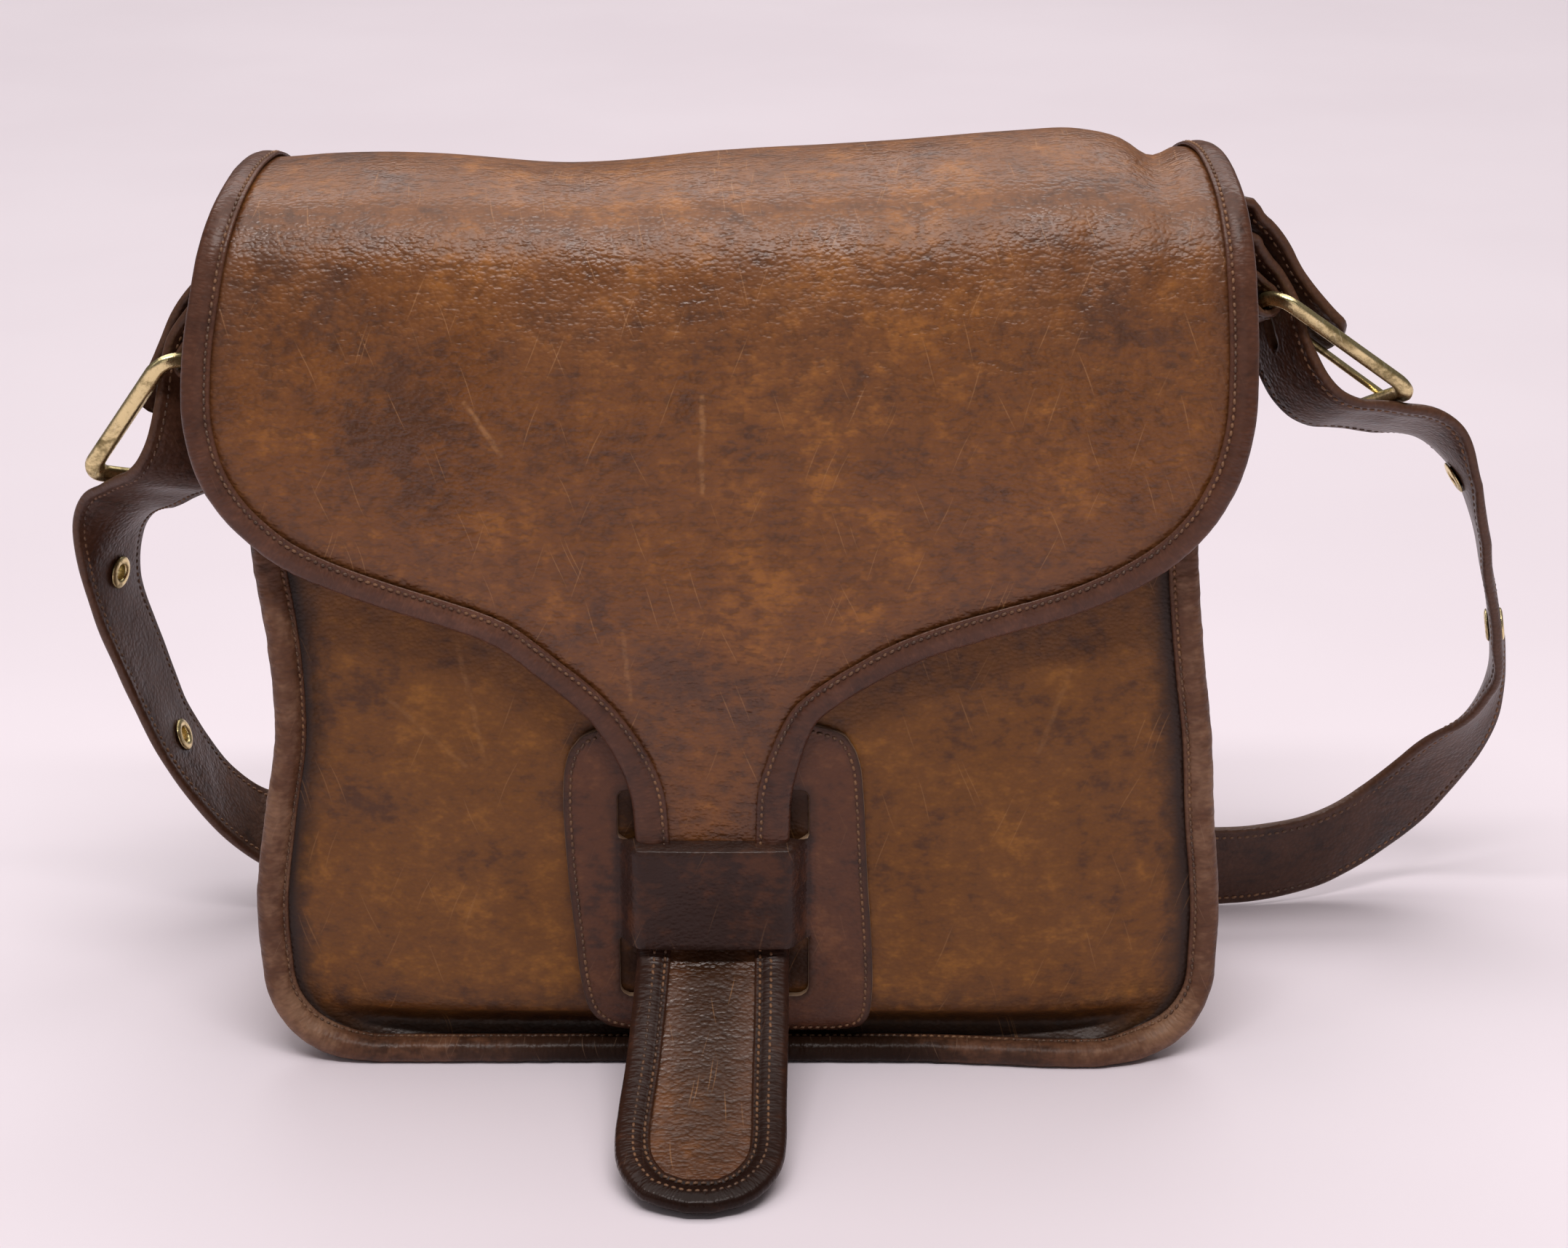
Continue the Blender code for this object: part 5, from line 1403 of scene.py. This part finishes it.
def make_strap(materials, thread):
    """The shoulder strap with its holes for the eyelets and slots for the prongs."""
    run, _, _ = strap_line()
    length = run[-1]
    at = np.linspace(0.0, length, round(length / STRAP_FINE))
    centres, along, across = strap_at(at)
    from_end = np.minimum(at, length - at)
    widths = np.sqrt(1 - np.clip(1 - from_end / STRAP_TIP, 0, 0.985) ** 2)
    section = strip_section(
        STRAP_WIDTH, STRAP_LEATHER, STRAP_GROOVE_IN, STRAP_GROOVE, STRAP_CROWN, STRAP_ACROSS)
    strap = sweep("shoulder_strap_leather", centres, along, across, section, materials, STRAP_LUMPS, widths)
    cutters = []
    for side, number, *hole in eyelet_places():
        size = (EYELET_HOLE, EYELET_HOLE, EYELET_CUT_DEPTH)
        cutters.append(add_cutter(f"eyelet_cut_{side}_{number}", *hole, *size))
    middle_run = (run[SLOT_FROM] + run[SLOT_TO]) / 2
    half_long = (run[SLOT_TO] - run[SLOT_FROM]) / 2 + STRAP_SLOT_ROOM
    for side, where in (("left", middle_run), ("right", length - middle_run)):
        (middle,), (forward,), (side_on,) = strap_at([where])
        hole = (middle, forward, side_on, np.cross(forward, side_on))
        cutters.append(add_cutter(f"prong_cut_{side}", *hole, half_long, STRAP_SLOT_HALF, STRAP_CUT_DEPTH))
    cut(strap, cutters)
    belongs(strap, "shoulder_strap")
    rows = [("stitches_strap_outer", 1, 1), ("stitches_strap_outer_far", 1, -1),
            ("stitches_strap_inner", -1, 1), ("stitches_strap_inner_far", -1, -1)]
    aside = (STRAP_WIDTH / 2 - STRAP_GROOVE_IN) * widths
    height = STRAP_LEATHER / 2 + STITCH_HEIGHT - STRAP_GROOVE * 0.55
    shown = from_end > STRAP_UNSEWN
    sew_strip(rows, centres, across, unit(np.cross(along, across)), aside, height, shown, thread)


def tab_line(side):
    """Centres and crosswise directions of a tab: from the side wall round the heel bar and back."""
    _, _, along_bar, _ = buckle_frame(side)
    sign = -1 if side == "left" else 1
    wall_across = np.array([0.0, -sign, 0.0])
    stand = GUSSET_LEATHER / 2 + TAB_WALL_GAP + TAB_LEATHER / 2
    rows = gusset_middle(side)
    wall = [(np.interp(z, rows[:, 2], rows[:, 0]) + sign * stand, TAB_WALL_Y, z) for z in TAB_WALL_LEVELS]
    wrap = []
    for step in range(TAB_TURN_STEPS + 1):
        angle = math.pi * (step / TAB_TURN_STEPS - 0.5)
        wrap.append((TAB_TURN * math.cos(angle) - FRAME_LENGTH / 2, 0.0, TAB_TURN * math.sin(angle)))
    local = at_buckle(side, TAB_OUT + wrap + TAB_BACK)
    bend = (np.array(wall[-1]) + local[0]) / 2 + np.array([sign * TAB_BEND, 0.0, 0.0])
    at_bend = unit(wall_across + along_bar)
    ways = unit(np.array([wall_across] * len(wall) + [at_bend] + [along_bar] * len(local)))
    return np.vstack([wall, [bend], local]), ways


def make_tab(side, materials, thread):
    """A tab sewn flat to the side wall, with the slot in which the prong turns."""
    knots, ways = tab_line(side)
    run = run_along(knots)
    at = np.linspace(0, run[-1], round(run[-1] / TAB_FINE))
    centres = smooth_curve(run, knots, at)
    along = unit(np.gradient(centres, axis=0))
    across = smooth_curve(run, ways, at)
    across = unit(across - along * np.sum(across * along, axis=-1, keepdims=True))
    section = strip_section(TAB_WIDTH, TAB_LEATHER, TAB_GROOVE_IN, TAB_GROOVE, TAB_CROWN, TAB_ACROSS)
    widths = np.ones(len(at))
    tab = sweep(f"tab_leather_{side}", centres, along, across, section, materials, TAB_LUMPS, widths)
    middle, down, bar, inward = buckle_frame(side)
    middle = middle + down * (TAB_SLOT_SHIFT - FRAME_LENGTH / 2)
    size = (TAB_SLOT_HALF, PRONG_SLOT / 2, TAB_CUT_DEPTH)
    cut(tab, [add_cutter(f"tab_cut_{side}", middle, down, bar, inward, *size)])
    belongs(tab, f"tab_{side}")
    rows = [(f"stitches_tab_{side}_low", 1, 1), (f"stitches_tab_{side}_low_under", -1, 1),
            (f"stitches_tab_{side}_high", 1, -1), (f"stitches_tab_{side}_high_under", -1, -1)]
    aside = (TAB_WIDTH / 2 - TAB_GROOVE_IN) * widths
    height = TAB_LEATHER / 2 + STITCH_HEIGHT - 0.1
    shown = np.minimum(at, run[-1] - at) > TAB_UNSEWN
    sew_strip(rows, centres, across, unit(np.cross(along, across)), aside, height, shown, thread)


def gusset_middle(side):
    """Points of a side wall half way between front and back, before any wrinkles, lowest first."""
    front, back, _, _, wall_out = gusset_seams()
    middle = (front + back) / 2 + wall_out * smooth_table(BODY_DEPTH, 3, front[:, 2])[:, None]
    places = middle[:BODY_FINE] if side == "left" else middle[-BODY_FINE:]
    return places[np.argsort(places[:, 2])]


def tube(name, points, material, closed, node_name):
    """A closed or capped tube of metal from its rings of points."""
    piece = add_net(name, points, [material], None, None, round_rows=closed, round_columns=True)
    close_up(piece, not closed)
    belongs(piece, node_name)


def frame_path():
    """The middle of a frame's bar all round, as (down the rails, along the bars, way out)."""
    corners = [(1, 1), (-1, 1), (-1, -1), (1, -1)]

    def place(quarter, angle):
        out = (math.cos(angle), math.sin(angle))
        sign_a, sign_b = corners[quarter % 4]
        return (sign_a * (FRAME_LENGTH / 2 - FRAME_CORNER) + FRAME_CORNER * out[0],
                sign_b * (FRAME_WIDTH / 2 - FRAME_CORNER) + FRAME_CORNER * out[1], out)

    path = []
    for quarter in range(4):
        first = math.pi / 2 * quarter
        path += [place(quarter, first + math.radians(degrees)) for degrees in range(0, 91, 10)]
        a, b, out = path[-1]
        end_a, end_b, _ = place(quarter + 1, math.pi / 2 * (quarter + 1))
        for share in np.linspace(0, 1, RAIL_STEPS)[1:-1]:
            path.append((a + (end_a - a) * share, b + (end_b - b) * share, out))
    return path


def make_buckle(side, brass):
    """One closed rectangular frame of cast bar with a ridge along it."""
    points = []
    for a, b, out in frame_path():
        grown = 1 + RAIL_GROWTH * min(1.0, 1 + out[0])
        ring = []
        for r, n in FRAME_BAR:
            reach = r * grown * BAR_FULLNESS if r > 0 else r
            ring.append((a + reach * out[0], b + reach * out[1], n * BAR_FULLNESS))
        points.append(at_buckle(side, ring))
    tube(f"buckle_brass_{side}", np.array(points), brass, True, f"buckle_{side}")


def make_prong(side, brass):
    """Round wire: nearly a full turn round the heel bar, then straight out over the front bar."""
    turn = np.radians(np.arange(-360, -89, 30))
    wound = [(PRONG_TURN * math.cos(t) - FRAME_LENGTH / 2, PRONG_TURN * math.sin(t)) for t in turn]
    path = np.array(wound + PRONG_OUT)
    run = run_along(path)
    point = PRONG_POINT * (1 - np.sin(np.radians([0, 30, 55, 75, 88])))
    at = np.concatenate([np.arange(0, run[-1] - PRONG_POINT - 0.3, PRONG_FINE), run[-1] - point])
    line = smooth_curve(run, path, at)
    along = unit(np.gradient(line, at, axis=0))
    points = []
    for k, (a, n) in enumerate(line):
        left = run[-1] - at[k]
        radius = PRONG_RADIUS * math.sqrt(max(0.004, 1 - max(0.0, 1 - left / PRONG_POINT) ** 2))
        ring = []
        for j in range(PRONG_SIDES):
            angle = 2 * math.pi * j / PRONG_SIDES
            out = radius * math.cos(angle)
            ring.append((a - out * along[k][1], radius * math.sin(angle), n + out * along[k][0]))
        points.append(at_buckle(side, ring))
    tube(f"prong_brass_{side}", np.array(points), brass, False, f"prong_{side}")


def make_eyelets(brass):
    """Brass eyelets: a tube through the strap, rolled outward on each face."""
    half = [(radius, STRAP_LEATHER / 2 + EYELET_GAP + height) for radius, height in EYELET_WALL]
    profile = half + [(radius, -height) for radius, height in reversed(half)]
    for side, number, middle, along, across, axis in eyelet_places():
        rings = []
        for k in range(EYELET_FINE):
            angle = 2 * math.pi * k / EYELET_FINE
            out = along * math.cos(angle) + across * math.sin(angle)
            rings.append([middle + out * radius + axis * height for radius, height in profile])
        name = f"eyelet_brass_{side}_{number}"
        tube(name, np.array(rings), brass, True, f"eyelet_{side}_{number}")


def set_inputs(tree, made, inputs):
    """Sets a node's inputs, each to a value or to another node's output."""
    for key, value in inputs.items():
        if isinstance(value, bpy.types.NodeSocket):
            tree.links.new(value, made.inputs[key])
        else:
            made.inputs[key].default_value = value


def node(tree, kind, inputs, **settings):
    """A shader node with its inputs and settings."""
    made = tree.nodes.new("ShaderNode" + kind)
    for key, value in settings.items():
        setattr(made, key, value)
    set_inputs(tree, made, inputs)
    return made


def maths(tree, operation, first, second=0.0, clamp=False):
    """Two numbers combined."""
    return node(tree, "Math", {0: first, 1: second}, operation=operation, use_clamp=clamp).outputs[0]


def vector_maths(tree, operation, first, second):
    """Two vectors combined, or one scaled by a number: the vector and the number that come out."""
    key = "Scale" if operation == "SCALE" else 1
    return node(tree, "VectorMath", {0: first, key: second}, operation=operation).outputs


def stretched(tree, vector, amounts):
    """A vector multiplied by three amounts."""
    return node(tree, "Mapping", {0: vector, 3: amounts}).outputs[0]


def mixed(tree, share, first, second, blend="MIX"):
    """Two colours mixed by a share."""
    made = node(tree, "Mix", {0: share, 6: first, 7: second}, data_type="RGBA", blend_type=blend)
    return made.outputs[2]


def between(tree, value, low, high, to_low=0.0, to_high=1.0):
    """A value's range mapped smoothly to another."""
    inputs = {0: value, 1: low, 2: high, 3: to_low, 4: to_high}
    return node(tree, "MapRange", inputs, interpolation_type="SMOOTHSTEP").outputs[0]


def noise_node(tree, vector, scale, detail, roughness, distortion=0.0):
    """Cloudy noise from 0 to 1."""
    inputs = {"Vector": vector, "Scale": scale, "Detail": detail, "Roughness": roughness}
    return node(tree, "TexNoise", {**inputs, "Distortion": distortion}).outputs[0]


def cells_node(tree, vector, scale):
    """Distance from the nearest of scattered points, and that point's own random colour."""
    return node(tree, "TexVoronoi", {"Vector": vector, "Scale": scale}, feature="F1").outputs


def group(name, inputs, outputs):
    """An empty node group with its kinds of sockets by name: its tree, its inputs and its output node's."""
    tree = bpy.data.node_groups.new(name, "ShaderNodeTree")
    for way, sockets in (("INPUT", inputs), ("OUTPUT", outputs)):
        for label, kind in sockets.items():
            tree.interface.new_socket(label, in_out=way, socket_type="NodeSocket" + kind)
    return tree, tree.nodes.new("NodeGroupInput").outputs, tree.nodes.new("NodeGroupOutput").inputs


def place_group(tree, made, inputs):
    """One use of a node group with its own values."""
    used = node(tree, "Group", {}, node_tree=made)
    set_inputs(tree, used, inputs)
    return used.outputs


def new_material(name):
    """A material with its tree, its shader and the place on the object."""
    material = bpy.data.materials.new(name)
    material.use_nodes = True
    tree = material.node_tree
    return material, tree, tree.nodes["Principled BSDF"], node(tree, "TexCoord", {}).outputs["Object"]


def make_mottle_group():
    """Uneven colour of waxed hide: clouds, patches and fine specks between three tones, darkened further
    where the given tone is darkest, as in the painted shade.
    """
    tree, given, result = group(
        "mottled_hide",
        {"Vector": "Vector", "Dark": "Color", "Middle": "Color", "Light": "Color", "Tone": "Float",
         "Contrast": "Float"},
        {"Color": "Color", "Shade": "Float"},
    )
    clouds = noise_node(tree, given["Vector"], *CLOUDS)
    patches = noise_node(tree, given["Vector"], *PATCHES)
    streaks = noise_node(tree, stretched(tree, given["Vector"], STREAK), *STREAKS)
    total = given["Tone"]
    for cloud, weight in zip((clouds, patches, streaks), TONE_WEIGHTS):
        part = maths(tree, "MULTIPLY", maths(tree, "SUBTRACT", cloud, 0.5), weight)
        total = maths(tree, "ADD", total, maths(tree, "MULTIPLY", part, given["Contrast"]))
    low = mixed(tree, between(tree, total, *DARK_TO_MIDDLE), given["Dark"], given["Middle"])
    colour = mixed(tree, between(tree, total, *MIDDLE_TO_LIGHT), low, given["Light"])
    # the darkest given tones, painted shade among them, darken the colour further
    deep = between(tree, given["Tone"], *DARK_AND_SHADED_PLACES, DARK_AND_SHADED_PLACES_COLOUR, 1.0)
    deep = node(tree, "CombineColor", {0: deep, 1: deep, 2: deep}).outputs[0]
    tree.links.new(mixed(tree, 1.0, colour, deep, "MULTIPLY"), result["Color"])
    tree.links.new(total, result["Shade"])
    return tree


def make_grain_group():
    """Height of pebbled, creased grain; a Vector stretched one way stretches the pebbles."""
    tree, given, result = group(
        "pebbled_grain", {"Vector": "Vector", "Pebbles": "Float", "Creases": "Float"}, {"Height": "Float"})
    cells = cells_node(tree, given["Vector"], given["Pebbles"])[0]
    pebbles = between(tree, cells, *PEBBLE_FACE, 1.0, 0.0)
    lines = noise_node(tree, stretched(tree, given["Vector"], STREAK), *STREAKS)
    creases = maths(tree, "MULTIPLY", between(tree, lines, *CREASE_LINE), given["Creases"])
    height = maths(tree, "ADD", maths(tree, "MULTIPLY", pebbles, PEBBLE_SHARE), creases)
    tree.links.new(height, result["Height"])
    return tree


def make_scuff_group():
    """Thin straight pale scratches in two directions, scattered over the hide."""
    tree, given, result = group(
        "scuffs", {"Vector": "Vector", "Size": "Float", "Amount": "Float"}, {"Mask": "Float"})
    scale, detail = SCRATCH_SWAY
    sway = node(tree, "TexNoise", {"Vector": given["Vector"], "Scale": scale, "Detail": detail}).outputs[1]
    sway = vector_maths(tree, "SCALE", sway, SCUFF_SWAY)[0]
    bent = vector_maths(tree, "ADD", given["Vector"], sway)[0]
    bent = vector_maths(tree, "SCALE", bent, given["Size"])[0]
    total = 0.0
    for angle in SCRATCH_ANGLES:
        turned = node(tree, "Mapping", {0: bent, 2: (0.0, math.radians(angle), 0.0)}).outputs[0]
        cells = cells_node(tree, stretched(tree, turned, SCUFF_CELLS), 1.0)
        pick = node(tree, "SeparateXYZ", {0: cells[1]}).outputs[0]
        chosen = maths(tree, "GREATER_THAN", pick, SCUFFS_SHOWN)
        line = between(tree, cells[0], *SCUFF_LINE, 1.0, 0.0)
        total = maths(tree, "ADD", total, maths(tree, "MULTIPLY", chosen, line))
    tree.links.new(maths(tree, "MULTIPLY", total, given["Amount"], clamp=True), result["Mask"])
    return tree


def make_scratch_group():
    """One long scratch between two places of the front, broken up along its way."""
    tree, given, result = group(
        "long_scratch", {"Vector": "Vector", "Start": "Vector", "Span": "Vector"}, {"Mask": "Float"})
    wander = noise_node(tree, given["Vector"], *SCRATCH_WANDER)
    aside = maths(tree, "MULTIPLY", maths(tree, "SUBTRACT", wander, 0.5), SCRATCH_ASIDE)
    flat = vector_maths(tree, "MULTIPLY", given["Vector"], (1.0, 0.0, 1.0))[0]
    flat = vector_maths(tree, "ADD", flat, node(tree, "CombineXYZ", {0: aside}).outputs[0])[0]
    away = vector_maths(tree, "SUBTRACT", flat, given["Start"])[0]
    dot = vector_maths(tree, "DOT_PRODUCT", away, given["Span"])[1]
    long = vector_maths(tree, "DOT_PRODUCT", given["Span"], given["Span"])[1]
    share = maths(tree, "DIVIDE", dot, long, clamp=True)
    rest = vector_maths(tree, "SUBTRACT", away, vector_maths(tree, "SCALE", given["Span"], share)[0])[0]
    distance = node(tree, "VectorMath", {0: rest}, operation="LENGTH").outputs[1]
    line = between(tree, distance, *SCRATCH_LINE, SCRATCH_SHOWN, 0.0)
    broken = between(tree, noise_node(tree, given["Vector"], *SCRATCH_BREAKS), *SCRATCH_GAPS)
    depth = node(tree, "SeparateXYZ", {0: given["Vector"]}).outputs[1]
    front = between(tree, depth, *SCRATCH_FRONT, 1.0, 0.0)
    mask = maths(tree, "MULTIPLY", maths(tree, "MULTIPLY", line, broken), front)
    tree.links.new(mask, result["Mask"])
    return tree


def make_edge_group():
    """A colour change that starts at a piece's edge and breaks up inward; on the body it is painted shade
    along the seams and the foot.
    """
    tree, given, result = group(
        "edge_colour_and_painted_shade", {"Vector": "Vector", "Distance": "Float", "Width": "Float", "Amount": "Float"},
        {"Mask": "Float"})
    rough = maths(tree, "MULTIPLY", noise_node(tree, given["Vector"], *WEAR_BREAKS), 2.0)
    reach = maths(tree, "MAXIMUM", maths(tree, "MULTIPLY", given["Width"], rough), 1e-5)
    near = maths(tree, "SUBTRACT", 1.0, maths(tree, "DIVIDE", given["Distance"], reach), clamp=True)
    tree.links.new(maths(tree, "MULTIPLY", near, given["Amount"], clamp=True), result["Mask"])
    return tree


def make_leather(name, look, groups):
    """A waxed leather from a row of LEATHERS."""
    material, tree, shader, place = new_material(name)
    flat = node(tree, "UVMap", {}, uv_map="leather").outputs[0]
    # the second map holds each point's distance from its edge and its tone, painted light and shade
    # included
    edge_and_tone_with_painted_light = node(tree, "SeparateXYZ", {0: node(tree, "UVMap", {}, uv_map="edge_and_tone_with_painted_light").outputs[0]}).outputs
    along = stretched(tree, flat if look["strip"] else place, look["stretch"])
    hide = place_group(tree, groups["mottle"], {
        "Vector": place, "Dark": look["dark"], "Middle": look["middle"], "Light": look["light"],
        "Tone": edge_and_tone_with_painted_light[1], "Contrast": look["contrast"]})
    scuffs = place_group(tree, groups["scuffs"], {
        "Vector": place, "Size": look["scuff_size"], "Amount": look["scuffs"]})[0]
    for x, z, end_x, end_z, strength in SCRATCHES.get(name, []):
        span = ((end_x - x) * MM, 0.0, (end_z - z) * MM)
        scratch = place_group(tree, groups["scratch"], {
            "Vector": place, "Start": (x * MM, 0.0, z * MM), "Span": span})[0]
        scuffs = maths(tree, "MAXIMUM", scuffs, maths(tree, "MULTIPLY", scratch, strength))
    edge = place_group(tree, groups["edge"], {
        "Vector": place, "Distance": edge_and_tone_with_painted_light[0], "Width": look["edge_width"],
        "Amount": look["edge_amount"]})[0]
    grain = place_group(tree, groups["grain"], {
        "Vector": along, "Pebbles": look["pebbles"], "Creases": look["creases"]})[0]
    # the edge colour, which on the body is painted shade
    colour = mixed(tree, edge, hide["Color"], look["edge"])
    colour = mixed(tree, scuffs, colour, look["scuff"])
    # painted shade in the grain's hollows
    hollows = between(tree, grain, *HOLLOW_SHADE, look["hollow"], 1.0)
    colour = node(tree, "HueSaturation", {"Color": colour, "Value": hollows}).outputs[0]
    rough = between(tree, noise_node(tree, place, *GLOSS), *MIDDLE_OF_NOISE, *look["rough"])
    rough = maths(tree, "ADD", rough, maths(tree, "MULTIPLY", scuffs, SCUFF_ROUGHNESS))
    shade = maths(tree, "SUBTRACT", hide["Shade"], 0.5)
    rough = maths(tree, "ADD", rough, maths(tree, "MULTIPLY", shade, SHADE_ROUGHNESS))
    broad = noise_node(tree, along, *SOFT_SWELLS)
    swell = node(tree, "Bump", {"Height": broad, "Strength": look["swell"], "Distance": SWELL_DEPTH})
    bump = node(tree, "Bump", {
        "Height": grain, "Strength": look["bump"], "Distance": GRAIN_DEPTH, "Normal": swell.outputs[0]})
    # dark places and painted shade are dull, so that they don't sparkle
    dull = DARK_AND_SHADED_PLACES_SPECULAR * look["specular"]
    set_inputs(tree, shader, {
        "Base Color": colour, "Roughness": rough, "Normal": bump.outputs[0], "Specular Tint": SHEEN_TINT,
        "Specular IOR Level": between(tree, edge_and_tone_with_painted_light[1], *DARK_AND_SHADED_PLACES, dull, look["specular"])})
    return material


def make_fibres(name, look):
    """A fibrous material from a row of FIBRES: stained in patches, with paler fibres."""
    material, tree, shader, place = new_material(name)
    stain = noise_node(tree, place, *look["stain"])
    fibres = noise_node(tree, place, *look["fibres"])
    colour = mixed(tree, between(tree, stain, *look["stained"]), look["first"], look["second"])
    colour = mixed(tree, between(tree, fibres, *look["paler"]), colour, look["pale"])
    rough = between(tree, fibres if look["rough_fibres"] else stain, *MIDDLE_OF_NOISE, *look["rough"])
    bump = node(tree, "Bump", {"Height": fibres, "Strength": FIBRE_BUMP, "Distance": look["depth"]})
    set_inputs(tree, shader, {"Base Color": colour, "Roughness": rough, "Normal": bump.outputs[0]})
    return material


def make_brass(groups):
    """Old yellow brass: bright where rubbed, olive and brown in its dull patches, with fine scratches."""
    material, tree, shader, place = new_material("old_brass")
    dull = noise_node(tree, place, *BRASS_PATCHES)
    specks = noise_node(tree, place, *BRASS_SPECKS)
    scratches = place_group(tree, groups["scuffs"], {"Vector": place, **BRASS_SCUFFS})[0]
    specked = maths(tree, "ADD", dull, maths(tree, "MULTIPLY", specks, SPECKS_SHARE))
    patina = between(tree, specked, *PATINA)
    colour = mixed(tree, scratches, mixed(tree, patina, BRASS_RUBBED, BRASS_DULL), BRASS_SCRATCHED)
    rough = maths(tree, "ADD", maths(tree, "MULTIPLY", patina, PATINA_ROUGHNESS), BRASS_ROUGHNESS)
    height = maths(tree, "ADD", dull, specks)
    bump = node(tree, "Bump", {"Height": height, **BRASS_PITS})
    set_inputs(tree, shader, {
        "Base Color": colour, "Metallic": 1.0, "Roughness": rough, "Normal": bump.outputs[0]})
    return material


def make_floor():
    """A pale plain floor, with the faintest unevenness."""
    build = bmesh.new()
    bmesh.ops.create_grid(build, x_segments=8, y_segments=8, size=FLOOR_HALF)
    mesh = bpy.data.meshes.new("floor")
    build.to_mesh(mesh)
    build.free()
    material, tree, shader, place = new_material("floor_paper")
    cloud = noise_node(tree, place, *FLOOR_CLOUDS)
    colour = mixed(tree, between(tree, cloud, *MIDDLE_OF_NOISE), *FLOOR_COLOURS)
    set_inputs(tree, shader, {"Base Color": colour, **FLOOR_SHEEN})
    mesh.materials.append(material)
    floor = put_in_scene("floor", mesh)


def aim(thing, place, target):
    """Puts a lamp at a place and points it at its target."""
    thing.location = Vector(place)
    thing.rotation_euler = (Vector(target) - Vector(place)).to_track_quat("-Z", "Y").to_euler()


def make_lights():
    """Soft studio lamps and a little light from all round."""
    for name, place, target, size, power, colour in LIGHTS:
        light = bpy.data.lights.new(name, "AREA")
        light.shape = "RECTANGLE"
        light.size, light.size_y = size
        light.energy = power
        light.color = colour
        aim(put_in_scene(name, light), place, target)
    world = bpy.data.worlds.new("studio_air")
    bpy.context.scene.world = world
    world.use_nodes = True
    background = world.node_tree.nodes["Background"]
    background.inputs["Color"].default_value = WORLD_COLOUR
    background.inputs["Strength"].default_value = WORLD_STRENGTH
    bpy.context.scene.view_settings.view_transform = "Standard"


def make_camera():
    """The view from slightly above the front."""
    camera = bpy.data.cameras.new("camera")
    camera.lens = CAMERA_LENS
    camera.sensor_width = 36.0
    camera.clip_start = 0.01
    eye = put_in_scene("camera", camera)
    eye.location = CAMERA_PLACE
    eye.rotation_euler = (math.radians(CAMERA_TILT), 0.0, 0.0)
    bpy.context.scene.camera = eye


def main():
    """Looks first, then the studio, then the pieces from the flap to the eyelets."""
    groups = {
        "mottle": make_mottle_group(),
        "grain": make_grain_group(),
        "scuffs": make_scuff_group(),
        "scratch": make_scratch_group(),
        "edge": make_edge_group(),
    }
    leather = {name: make_leather(name, look, groups) for name, look in LEATHERS.items()}
    cut_edge, thread = (make_fibres(name, look) for name, look in FIBRES.items())
    brass = make_brass(groups)
    make_camera()
    make_floor()
    make_lights()
    make_flap([leather["flap_hide"]])
    make_front_panel([leather["body_hide"]])
    make_gusset([leather["body_hide"]])
    make_flap_binding([leather["binding_hide"]], thread)
    make_front_binding([leather["worn_binding_hide"]], thread)
    make_patch([leather["patch_hide"], cut_edge], thread)
    make_strap([leather["strap_hide"]], thread)
    for side in ("left", "right"):
        make_tab(side, [leather["strap_hide"]], thread)
        make_buckle(side, brass)
        make_prong(side, brass)
    make_eyelets(brass)


main()
